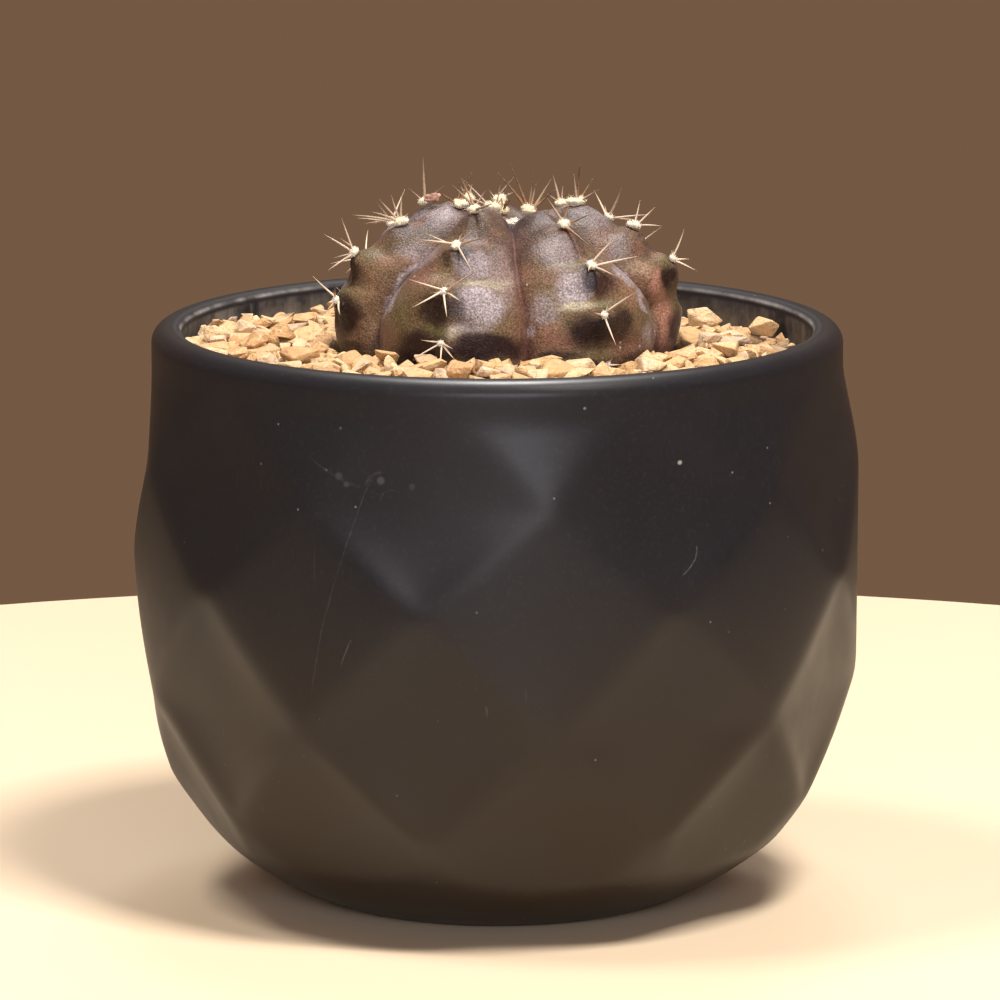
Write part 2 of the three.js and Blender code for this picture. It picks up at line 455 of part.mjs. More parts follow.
function buildChip(x, y, size, turn, flat, seed) {
  const random = makeRandom(seed * 7919 + 17);
  const points = [];
  for (let i = 0; i < 13; i++) {
    const a = random() * Math.PI * 2;
    const h = random() * 2 - 1;
    const k = Math.sqrt(1 - h * h);
    const reach = 0.85 + 0.15 * random();
    points.push(new THREE.Vector3(k * Math.cos(a) * reach * size * 0.5, k * Math.sin(a) * reach * size * 0.36, h * reach * size * flat * 0.42));
  }
  const g = new ConvexGeometry(points);
  g.rotateX(rad((random() - 0.5) * 16));
  g.rotateZ(rad(turn));
  g.computeBoundingBox();
  // rests on the highest point of the bed beneath it
  let high = -1e9;
  for (let dx = -size / 2; dx <= size / 2; dx += 0.5)
    for (let dy = -size / 2; dy <= size / 2; dy += 0.5) high = Math.max(high, gravelTop(x + dx, y + dy));
  g.translate(x, y, high + 0.3 - g.boundingBox.min.z);
  return g;
}

// ---------------------------------------------------------------- areoles
const wasm = await Module();
wasm.setup();

function toSolid(geometry) {
  const g = geometry.clone();
  g.deleteAttribute("normal");
  if (g.getAttribute("uv")) g.deleteAttribute("uv");
  const m = mergeVertices(g, 1e-4);
  return new wasm.Manifold(
    new wasm.Mesh({
      numProp: 3,
      vertProperties: Float32Array.from(m.getAttribute("position").array),
      triVerts: Uint32Array.from(m.getIndex().array),
    }),
  );
}

function fromSolid(solid) {
  const m = solid.getMesh();
  const positions = [];
  for (let i = 0; i < m.numVert; i++) positions.push(m.vertProperties[i * m.numProp], m.vertProperties[i * m.numProp + 1], m.vertProperties[i * m.numProp + 2]);
  return geometryFrom(positions, Array.from(m.triVerts));
}

// a slender three-sided spine from a to b
function spine(a, b, r) {
  const d = new THREE.Vector3().subVectors(b, a);
  const g = new THREE.ConeGeometry(r, d.length(), 3, 1);
  g.translate(0, d.length() / 2, 0);
  g.applyQuaternion(new THREE.Quaternion().setFromUnitVectors(new THREE.Vector3(0, 1, 0), d.clone().normalize()));
  g.translate(a.x, a.y, a.z);
  return g;
}

function buildAreole(point, normal, tips) {
  const n = new THREE.Vector3(...normal).normalize();
  const centre = new THREE.Vector3(...point).addScaledVector(n, CUSHION_H + FIT_GAP);
  const cushion = new THREE.IcosahedronGeometry(1, 0);
  cushion.scale(CUSHION_R, CUSHION_H, CUSHION_R);
  cushion.applyQuaternion(new THREE.Quaternion().setFromUnitVectors(new THREE.Vector3(0, 1, 0), n));
  cushion.translate(centre.x, centre.y, centre.z);
  let body = toSolid(cushion);
  for (const t of tips) {
    const d = new THREE.Vector3(...t);
    const start = centre.clone().addScaledVector(n, 0.12);
    body = body.add(toSolid(spine(start, centre.clone().add(d), SPINE_BASE_R)));
  }
  return fromSolid(body);
}

function buildPuff(x, y, z, rx, ry, rz) {
  const g = new THREE.IcosahedronGeometry(1, 1);
  g.scale(rx, ry, rz);
  g.translate(x, y, z);
  return fromSolid(toSolid(g));
}

// ---------------------------------------------------------------- materials and assembly
const look = (color, roughness, metalness = 0) => new THREE.MeshStandardMaterial({ color, roughness, metalness });
const LOOKS = {
  glaze: () => look(0x23232a, 0.42),
  soil: () => look(0x2c211a, 0.95),
  stone: () => look(0xd2a56a, 0.85),
  skin: () => look(0x584a3c, 0.55),
  spine: () => look(0xb59a72, 0.6),
  wool: () => look(0xe8dfc8, 0.9),
  bud: () => look(0xa7705c, 0.8),
};

const group = new THREE.Group();
function add(name, geometry, material) {
  const mesh = new THREE.Mesh(geometry, material());
  mesh.name = name;
  group.add(mesh);
}

add("pot", buildPot(), LOOKS.glaze);
add("potting_soil", buildSoil(), LOOKS.soil);
add("gravel_bed", buildGravelBed(), LOOKS.stone);
CHIPS.forEach((c, i) => add(`gravel_chip_${String(i + 1).padStart(2, "0")}`, buildChip(...c, i + 1), LOOKS.stone));
add("cactus_stem", buildStem(), LOOKS.skin);
for (const [name, point, normal, tips] of AREOLES) add(`spines_${name}`, buildAreole(point, normal, tips), LOOKS.spine);
add("crown_wool", buildPuff(STEM_X - 0.2, STEM_Y + 0.2, 108.2, 1.5, 1.5, 0.8), LOOKS.wool);
add("dried_bud", buildPuff(-10.4, 6.6, 110.9, 1.2, 0.9, 0.9), LOOKS.bud);

export default group;
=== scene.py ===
# Potted round cactus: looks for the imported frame. Metres, +Z up, origin at the centre of the pot's foot.
import math
import bmesh
import bpy
import numpy as np
from mathutils import Vector, Matrix


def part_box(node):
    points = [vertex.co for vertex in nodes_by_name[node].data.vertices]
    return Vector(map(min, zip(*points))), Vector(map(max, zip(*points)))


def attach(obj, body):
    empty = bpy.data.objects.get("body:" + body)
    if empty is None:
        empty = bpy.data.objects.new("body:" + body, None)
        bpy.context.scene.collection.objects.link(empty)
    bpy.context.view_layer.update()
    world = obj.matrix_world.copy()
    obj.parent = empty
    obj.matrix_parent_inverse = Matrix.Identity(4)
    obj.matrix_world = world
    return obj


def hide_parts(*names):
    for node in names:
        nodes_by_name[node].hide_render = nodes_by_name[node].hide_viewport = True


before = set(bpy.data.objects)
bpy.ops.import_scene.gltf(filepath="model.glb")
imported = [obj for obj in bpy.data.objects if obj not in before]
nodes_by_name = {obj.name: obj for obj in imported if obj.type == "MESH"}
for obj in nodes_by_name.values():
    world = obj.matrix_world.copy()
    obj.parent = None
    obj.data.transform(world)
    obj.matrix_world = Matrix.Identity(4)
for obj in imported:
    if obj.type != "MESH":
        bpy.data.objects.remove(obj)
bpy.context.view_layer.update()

MM = 0.001
scene = bpy.context.scene


# ------------------------------------------------------------------ small helpers
def mesh_object(name, verts_mm, faces, materials, smooth=True, face_mat=None, colors=None):
    """A mesh object from points in millimetres and a list or array of faces."""
    me = bpy.data.meshes.new(name)
    me.from_pydata([tuple(v) for v in (np.asarray(verts_mm) * MM).tolist()], [], [tuple(f) for f in faces])
    for m in materials:
        me.materials.append(m)
    if smooth:
        me.polygons.foreach_set("use_smooth", np.ones(len(me.polygons), dtype=bool))
    if face_mat is not None:
        me.polygons.foreach_set("material_index", np.asarray(face_mat, dtype=np.int32))
    for key, values in (colors or {}).items():
        values = np.asarray(values, dtype=np.float32)
        if values.ndim == 1:
            a = me.attributes.new(key, "FLOAT", "POINT")
            a.data.foreach_set("value", values)
        else:
            a = me.color_attributes.new(key, "FLOAT_COLOR", "POINT")
            rgba = np.ones((len(values), 4), dtype=np.float32)
            rgba[:, :3] = values
            a.data.foreach_set("color", rgba.ravel())
    me.update()
    me.validate()
    ob = bpy.data.objects.new(name, me)
    scene.collection.objects.link(ob)
    return ob


def node(nt, kind, ins=None, **props):
    nd = nt.nodes.new(kind)
    for k, v in props.items():
        setattr(nd, k, v)
    for k, v in (ins or {}).items():
        if isinstance(v, bpy.types.NodeSocket):
            nt.links.new(v, nd.inputs[k])
        else:
            nd.inputs[k].default_value = v
    return nd


def math_node(nt, op, a, b=0.0, c=0.0, clamp=False):
    nd = nt.nodes.new("ShaderNodeMath")
    nd.operation = op
    nd.use_clamp = clamp
    for i, v in enumerate((a, b, c)):
        if isinstance(v, bpy.types.NodeSocket):
            nt.links.new(v, nd.inputs[i])
        else:
            nd.inputs[i].default_value = v
    return nd.outputs[0]


def mix_color(nt, fac, a, b, blend="MIX"):
    nd = nt.nodes.new("ShaderNodeMix")
    nd.data_type = "RGBA"
    nd.blend_type = blend
    for idx, v in ((0, fac), (6, a), (7, b)):
        if isinstance(v, bpy.types.NodeSocket):
            nt.links.new(v, nd.inputs[idx])
        elif idx == 0:
            nd.inputs[idx].default_value = v
        else:
            nd.inputs[idx].default_value = (*v, 1.0)
    return nd.outputs[2]


def ramp(nt, fac, stops, interp="LINEAR"):
    nd = nt.nodes.new("ShaderNodeValToRGB")
    nd.color_ramp.interpolation = interp
    el = nd.color_ramp.elements
    while len(el) < len(stops):
        el.new(0.5)
    for e, (p, c) in zip(el, stops):
        e.position = p
        e.color = (*c, 1.0) if not isinstance(c, (int, float)) else (c, c, c, 1.0)
    nt.links.new(fac, nd.inputs[0])
    return nd.outputs[0]


def map_range(nt, v, a, b, c=0.0, d=1.0, smooth=False):
    nd = nt.nodes.new("ShaderNodeMapRange")
    if smooth:
        nd.interpolation_type = "SMOOTHSTEP"
    nt.links.new(v, nd.inputs[0])
    for i, x in zip((1, 2, 3, 4), (a, b, c, d)):
        nd.inputs[i].default_value = x
    return nd.outputs[0]


def new_material(name):
    m = bpy.data.materials.new(name)
    m.use_nodes = True
    nt = m.node_tree
    nt.nodes.clear()
    out = node(nt, "ShaderNodeOutputMaterial")
    bsdf = node(nt, "ShaderNodeBsdfPrincipled")
    nt.links.new(bsdf.outputs[0], out.inputs[0])
    return m, nt, bsdf


def coords(nt):
    return node(nt, "ShaderNodeTexCoord").outputs["Object"]


def noise_tex(nt, vec, scale, detail=4.0, rough=0.5, distortion=0.0):
    nd = node(nt, "ShaderNodeTexNoise", {"Vector": vec, "Scale": scale, "Detail": detail, "Roughness": rough, "Distortion": distortion})
    return nd.outputs["Fac"], nd.outputs["Color"]


def voronoi(nt, vec, scale, feature="F1", rand=1.0):
    nd = node(nt, "ShaderNodeTexVoronoi", {"Vector": vec, "Scale": scale, "Randomness": rand}, feature=feature)
    return nd.outputs["Distance"], nd.outputs["Color"] if "Color" in nd.outputs else None


def bump(nt, height, strength, distance, normal=None):
    ins = {"Height": height, "Strength": strength, "Distance": distance}
    if normal is not None:
        ins["Normal"] = normal
    return node(nt, "ShaderNodeBump", ins).outputs[0]


def attribute(nt, name):
    nd = node(nt, "ShaderNodeAttribute", attribute_name=name)
    return nd


def srgb(r, g, b):
    f = lambda c: c / 255 / 12.92 if c / 255 <= 0.04045 else ((c / 255 + 0.055) / 1.055) ** 2.4
    return (f(r), f(g), f(b))


def smoothstep(a, b, x):
    t = np.clip((x - a) / (b - a), 0, 1)
    return t * t * (3 - 2 * t)


# value noise in numpy, for shapes
def lattice_noise(p, seed=0):
    p = np.asarray(p, dtype=np.float64)
    i = np.floor(p).astype(np.int64)
    f = p - i
    u = f * f * (3 - 2 * f)

    def h(ix, iy, iz):
        n = (ix * 374761393 + iy * 668265263 + iz * 2147483647 + seed * 1274126177) & 0xFFFFFFFF
        n = ((n ^ (n >> 13)) * 1274126177) & 0xFFFFFFFF
        n = (n ^ (n >> 16)) & 0xFFFFFFFF
        return n / 4294967295.0 * 2 - 1

    out = 0
    for dx in (0, 1):
        for dy in (0, 1):
            for dz in (0, 1):
                w = (u[..., 0] if dx else 1 - u[..., 0]) * (u[..., 1] if dy else 1 - u[..., 1]) * (u[..., 2] if dz else 1 - u[..., 2])
                out = out + w * h(i[..., 0] + dx, i[..., 1] + dy, i[..., 2] + dz)
    return out


def fbm(p, octaves=3, seed=0):
    p = np.asarray(p, dtype=np.float64)
    out, amp, total = 0, 1.0, 0
    for k in range(octaves):
        out = out + amp * lattice_noise(p * 2**k, seed + 17 * k)
        total += amp
        amp *= 0.5
    return out / total


def grid_faces(nr, nc, wrap_cols=True, wrap_rows=False, offset=0):
    """Quads for nr rows of nc columns."""
    rows = nr if wrap_rows else nr - 1
    cols = nc if wrap_cols else nc - 1
    i, j = np.meshgrid(np.arange(rows), np.arange(cols), indexing="ij")
    i2, j2 = (i + 1) % nr, (j + 1) % nc
    return (np.stack([i * nc + j, i * nc + j2, i2 * nc + j2, i2 * nc + j], -1).reshape(-1, 4) + offset)


# ------------------------------------------------------------------ camera
CAM_D, CAM_H, CAM_F = 1.300, 0.3048243, 8279.4135
cam_data = bpy.data.cameras.new("camera")
cam_data.sensor_width = 36.0
cam_data.lens = CAM_F * 36.0 / 1000.0
cam_data.clip_start, cam_data.clip_end = 0.05, 20.0
cam = bpy.data.objects.new("camera", cam_data)
cam.location = (0.00045, -CAM_D, CAM_H)
cam.rotation_euler = (math.pi / 2 - 0.1839, 0.0, 0.0)
scene.collection.objects.link(cam)
scene.camera = cam

# ------------------------------------------------------------------ pot shape (mm, degrees)
PHASE, COLLAR = 8.35, 84.3
ZA, RA = 71.7, 57.65
ZB, RB = 54.8, 58.2
ZC, RC = 35.2, 57.45
ZD, RD = 16.8, 52.1
MA, MB, MC, MD = 55.4, 57.6, 54.3, 48.2
ZL, ML, EL = 8.0, 43.6, 45.5
SAG, RCOL, POT_H = 0.25, 55.0, 91.6
BOWL_Z = np.array([0, 2, 5, 10, 15, 20, 120.0])
BOWL_R = np.array([28.5, 33.6, 38.9, 45.6, 49.8, 53.3, 160.0])


def through(z, a, b, c):
    (z1, y1), (z2, y2), (z3, y3) = a, b, c
    return (y1 * (z - z2) * (z - z3) / ((z1 - z2) * (z1 - z3)) + y2 * (z - z1) * (z - z3) / ((z2 - z1) * (z2 - z3))
            + y3 * (z - z1) * (z - z2) / ((z3 - z1) * (z3 - z2)))


def pot_radius(az, z):
    az, z = np.broadcast_arrays(np.asarray(az, float), np.asarray(z, float))
    te = np.abs((az - PHASE + 20) % 40 - 20)
    to = 20 - te

    def facet(x, width, mid, edge):
        return mid + (edge - mid) * np.clip(x / np.maximum(width, 1e-3), 0, 1) ** 2

    def edge(z1, r1, z2, r2, sag):
        s = (z - z1) / (z2 - z1)
        return r1 + (r2 - r1) * s - sag * 4 * s * (1 - s)

    r = np.full(z.shape, RCOL)
    up = RA + (RCOL - RA) * (z - ZA) / (COLLAR - ZA)
    fb = through(z, (ZB, RB), (ZA, MA), (COLLAR, RCOL))
    fc = through(z, (ZA, RA), (ZB, MB), (ZC, RC))
    fd = through(z, (ZB, RB), (ZC, MC), (ZD, RD))
    fe = through(z, (ZC, RC), (ZD, MD), (ZL, ML))
    w = 10 * (z - ZA) / (COLLAR - ZA)
    e = edge(ZA, RA, COLLAR, RCOL + 0.1, SAG / 2)
    r = np.where((z < COLLAR) & (z >= ZA), np.where(te < w, facet(te, w, up, e), facet(to, 20 - w, fb, e)), r)
    w = 20 * (ZA - z) / (ZA - ZB)
    e = edge(ZA, RA, ZB, RB, SAG)
    r = np.where((z < ZA) & (z >= ZB), np.where(te < w, facet(te, w, fc, e), facet(to, 20 - w, fb, e)), r)
    w = 20 * (z - ZC) / (ZB - ZC)
    e = edge(ZB, RB, ZC, RC, SAG)
    r = np.where((z < ZB) & (z >= ZC), np.where(te < w, facet(te, w, fc, e), facet(to, 20 - w, fd, e)), r)
    w = 20 * (ZC - z) / (ZC - ZD)
    e = edge(ZC, RC, ZD, RD, SAG / 2)
    r = np.where((z < ZC) & (z >= ZD), np.where(te < w, facet(te, w, fe, e), facet(to, 20 - w, fd, e)), r)
    e = edge(ZD, RD, ZL, EL, 0)
    r = np.where(z < ZD, facet(te, 20, fe, e), r)
    return np.minimum(r, np.interp(z, BOWL_Z, BOWL_R))


def blur_rows(a, sigma, wrap):
    n = int(math.ceil(3 * sigma))
    k = np.exp(-0.5 * (np.arange(-n, n + 1) / sigma) ** 2)
    k /= k.sum()
    if wrap:
        p = np.concatenate([a[:, -n:], a, a[:, :n]], 1)
        return sum(k[i] * p[:, i:i + a.shape[1]] for i in range(2 * n + 1))
    p = np.concatenate([np.repeat(a[:1], n, 0), a, np.repeat(a[-1:], n, 0)], 0)
    return sum(k[i] * p[i:i + a.shape[0]] for i in range(2 * n + 1))


# ------------------------------------------------------------------ materials
def material_glaze():
    m, nt, bs = new_material("satin_black_glaze")
    co = coords(nt)
    inner = attribute(nt, "inner").outputs["Fac"]
    lip = attribute(nt, "lip").outputs["Fac"]
    pos = node(nt, "ShaderNodeSeparateXYZ", {"Vector": co})
    X, Y, Z = pos.outputs[0], pos.outputs[1], pos.outputs[2]
    # broad, slow tone changes of the glaze
    n1, _ = noise_tex(nt, co, 22.0, 3.0, 0.55)
    n2, _ = noise_tex(nt, co, 140.0, 5.0, 0.6)
    n3, _ = noise_tex(nt, co, 1500.0, 2.0, 0.5)
    base = mix_color(nt, n1, (0.0100, 0.0100, 0.0132), (0.0150, 0.0144, 0.0172))
    # fine mineral grain in the glaze
    grain = map_range(nt, n3, 0.55, 0.8, 0.0, 0.16)
    base = mix_color(nt, grain, base, (0.060, 0.058, 0.062))
    # painted reflection: the glaze is tinted warm brown towards the foot, standing in for the warm floor seen in the
    # lower facets
    foot = math_node(nt, "MULTIPLY", map_range(nt, Z, 0.062, 0.020, 0.0, 1.0), map_range(nt, n1, 0.35, 0.60, 0.6, 1.0))
    base = mix_color(nt, foot, base, (0.0185, 0.0115, 0.0062))
    # tiny pale specks, a few per square centimetre, in two sizes
    d1, c1 = voronoi(nt, co, 330.0)
    pick1 = node(nt, "ShaderNodeSeparateColor", {"Color": c1}).outputs[0]
    s1 = math_node(nt, "MULTIPLY", map_range(nt, d1, 0.035, 0.075, 1.0, 0.0), map_range(nt, pick1, 0.80, 0.84, 0.0, 1.0))
    d2, c2 = voronoi(nt, co, 90.0)
    pick2 = node(nt, "ShaderNodeSeparateColor", {"Color": c2}).outputs[1]
    s2 = math_node(nt, "MULTIPLY", map_range(nt, d2, 0.018, 0.034, 1.0, 0.0), map_range(nt, pick2, 0.84, 0.88, 0.0, 1.0))
    specks = math_node(nt, "MAXIMUM", math_node(nt, "MULTIPLY", s1, 0.35), s2, clamp=True)
    # scratches on the front: (centre x, centre z, radius, half width, x range, z range), metres
    marks = []

    def arc(cx, cz, rad, w, xlo, xhi, zlo, zhi, gain, wob=0.00012, front=True):
        dx = math_node(nt, "SUBTRACT", X, cx)
        dz = math_node(nt, "SUBTRACT", Z, cz)
        d = math_node(nt, "SQRT", math_node(nt, "ADD", math_node(nt, "MULTIPLY", dx, dx), math_node(nt, "MULTIPLY", dz, dz)))
        d = math_node(nt, "SUBTRACT", d, rad)
        d = math_node(nt, "ADD", d, math_node(nt, "MULTIPLY", math_node(nt, "SUBTRACT", n2, 0.5), wob * 8))
        d = math_node(nt, "ABSOLUTE", d)
        a = map_range(nt, d, w * 0.35, w, 1.0, 0.0)
        for v, lo, hi in ((X, xlo, xhi), (Z, zlo, zhi)):
            span = max((hi - lo) * 0.08, 0.0002)
            a = math_node(nt, "MULTIPLY", a, map_range(nt, v, lo, lo + span, 0.0, 1.0))
            a = math_node(nt, "MULTIPLY", a, map_range(nt, v, hi - span, hi, 1.0, 0.0))
        side = (-0.02, -0.03) if front else (0.02, 0.03)
        a = math_node(nt, "MULTIPLY", a, map_range(nt, Y, side[0], side[1], 0.0, 1.0))
        a = math_node(nt, "MULTIPLY", a, map_range(nt, n3, 0.30, 0.62, 0.25, 1.0))
        marks.append(math_node(nt, "MULTIPLY", a, gain))

    # the long shallow arc on the left, then short nicks
    arc(*circle3((-0.0187, 0.0770), (-0.0262, 0.0553), (-0.0286, 0.0424)), 0.00012, -0.0295, -0.0180, 0.0415, 0.0775, 0.065)
    arc(*circle3((-0.0223, 0.0509), (-0.0233, 0.0488), (-0.0239, 0.0469)), 0.00013, -0.0243, -0.0219, 0.0466, 0.0512, 0.14)
    arc(*circle3((0.0289, 0.0606), (0.0302, 0.0620), (0.0308, 0.0645)), 0.00014, 0.0284, 0.0311, 0.0602, 0.0648, 0.15)
    arc(*circle3((-0.0286, 0.0786), (-0.0250, 0.0762), (-0.0215, 0.0748)), 0.00026, -0.0290, -0.0205, 0.0742, 0.0790, 0.028)
    arc(*circle3((-0.0200, 0.0752), (-0.0192, 0.0765), (-0.0180, 0.0771)), 0.00028, -0.0204, -0.0176, 0.0748, 0.0775, 0.045)
    arc(*circle3((-0.0178, 0.0728), (-0.0170, 0.0740), (-0.0160, 0.0744)), 0.00024, -0.0181, -0.0157, 0.0725, 0.0747, 0.04)
    # rub marks round the rest of the pot, so that no side is bare
    arc(*circle3((0.0120, 0.0330), (0.0175, 0.0360), (0.0240, 0.0368)), 0.00011, 0.0118, 0.0242, 0.0322, 0.0376, 0.10, front=False)
    arc(*circle3((-0.0060, 0.0640), (-0.0105, 0.0615), (-0.0122, 0.0570)), 0.00011, -0.0124, -0.0056, 0.0565, 0.0645, 0.10, front=False)
    # round white nicks
    for x, z, r, g in ((0.0281, 0.0777, 0.00042, 0.75), (0.0134, 0.0872, 0.00028, 0.4), (-0.0031, 0.0562, 0.00024, 0.2),
                       (-0.0178, 0.0758, 0.00075, 0.10), (-0.0243, 0.0762, 0.00070, 0.07), (-0.0231, 0.0750, 0.00055, 0.07),
                       (-0.0130, 0.0751, 0.00060, 0.05), (-0.0262, 0.0770, 0.00024, 0.15), (-0.0240, 0.0835, 0.00026, 0.15)):
        dx = math_node(nt, "SUBTRACT", X, x)
        dz = math_node(nt, "SUBTRACT", Z, z)
        d = math_node(nt, "SQRT", math_node(nt, "ADD", math_node(nt, "MULTIPLY", dx, dx), math_node(nt, "MULTIPLY", dz, dz)))
        a = map_range(nt, d, r * 0.5, r, 1.0, 0.0)
        a = math_node(nt, "MULTIPLY", a, map_range(nt, Y, -0.02, -0.03, 0.0, 1.0))
        marks.append(math_node(nt, "MULTIPLY", a, g))
    # short hairline scuffs from noise, all round
    hv = node(nt, "ShaderNodeMapping", {"Vector": co, "Scale": (900.0, 900.0, 60.0), "Rotation": (0.5, 0.4, 0.2)}).outputs[0]
    hn, _ = noise_tex(nt, hv, 1.0, 2.0, 0.5, 0.4)
    patch, _ = noise_tex(nt, co, 34.0, 2.0, 0.5)
    hair = math_node(nt, "MULTIPLY", map_range(nt, hn, 0.71, 0.80, 0.0, 1.0), map_range(nt, patch, 0.56, 0.70, 0.0, 0.30))
    marks.append(hair)
    total = specks
    for a in marks:
        total = math_node(nt, "MAXIMUM", total, a, clamp=True)
    col = mix_color(nt, total, base, (0.36, 0.35, 0.34))
    # dusty, scuffed inside of the wall, with a tide line of stone dust
    wall = map_range(nt, inner, 0.7, 1.0, 0.0, 1.0)
    dn, _ = noise_tex(nt, co, 95.0, 6.0, 0.7)
    sv = node(nt, "ShaderNodeMapping", {"Vector": co, "Scale": (330.0, 330.0, 90.0)}).outputs[0]
    sn, _ = noise_tex(nt, sv, 1.0, 5.0, 0.65, 0.3)
    dust = math_node(nt, "MULTIPLY", wall, math_node(nt, "ADD", map_range(nt, dn, 0.40, 0.64, 0.0, 0.55), map_range(nt, sn, 0.46, 0.66, 0.0, 0.45), clamp=True), clamp=True)
    # side mask: strongest at the left and right sides of the pot, most at the left; it weights the dust and the lip's
    # worn line
    side = math_node(nt, "MAXIMUM", map_range(nt, X, -0.024, -0.042, 0.30, 1.0), map_range(nt, X, 0.026, 0.045, 0.30, 0.8))
    dust = math_node(nt, "MULTIPLY", dust, side)
    col = mix_color(nt, dust, col, (0.180, 0.158, 0.142))
    low = map_range(nt, Z, 0.0895, 0.0862, 0.0, 1.0)
    tide = math_node(nt, "MULTIPLY", math_node(nt, "MULTIPLY", wall, low), map_range(nt, dn, 0.42, 0.60, 0.0, 0.55))
    col = mix_color(nt, tide, col, (0.27, 0.21, 0.14))
    # thin worn line along the inner edge of the lip, kept to the left and right sides where light falls on it: real
    # wear with a painted highlight
    wear_and_highlight = math_node(nt, "MULTIPLY", math_node(nt, "MULTIPLY", lip, side), map_range(nt, n2, 0.40, 0.60, 0.15, 1.0))
    col = mix_color(nt, wear_and_highlight, col, (0.30, 0.285, 0.285))
    nt.links.new(col, bs.inputs["Base Color"])
    rough = map_range(nt, n1, 0.3, 0.7, 0.35, 0.43)
    rough = math_node(nt, "ADD", rough, math_node(nt, "MULTIPLY", total, 0.3))
    rough = math_node(nt, "ADD", rough, math_node(nt, "MULTIPLY", dust, 0.35), clamp=True)
    rough = math_node(nt, "ADD", rough, map_range(nt, n2, 0.3, 0.7, -0.02, 0.03), clamp=True)
    rough = math_node(nt, "ADD", rough, math_node(nt, "MULTIPLY", inner, 0.34), clamp=True)
    nt.links.new(rough, bs.inputs["Roughness"])
    # slight orange peel and speck relief
    p1, _ = noise_tex(nt, co, 420.0, 2.0, 0.5)
    h = math_node(nt, "ADD", math_node(nt, "MULTIPLY", p1, 0.7), math_node(nt, "MULTIPLY", n3, 0.3))
    h = math_node(nt, "ADD", h, math_node(nt, "MULTIPLY", specks, 0.8))
    nt.links.new(bump(nt, h, 0.10, 0.00012), bs.inputs["Normal"])
    bs.inputs["Specular IOR Level"].default_value = 0.34
    bs.inputs["IOR"].default_value = 1.5
    return m


def circle3(p, q, r):
    """(centre x, centre y, radius) of the circle through three points."""
    ax, ay = p
    bx, by = q
    cx, cy = r
    d = 2 * (ax * (by - cy) + bx * (cy - ay) + cx * (ay - by))
    ux = ((ax * ax + ay * ay) * (by - cy) + (bx * bx + by * by) * (cy - ay) + (cx * cx + cy * cy) * (ay - by)) / d
    uy = ((ax * ax + ay * ay) * (cx - bx) + (bx * bx + by * by) * (ax - cx) + (cx * cx + cy * cy) * (bx - ax)) / d
    return ux, uy, math.hypot(ax - ux, ay - uy)


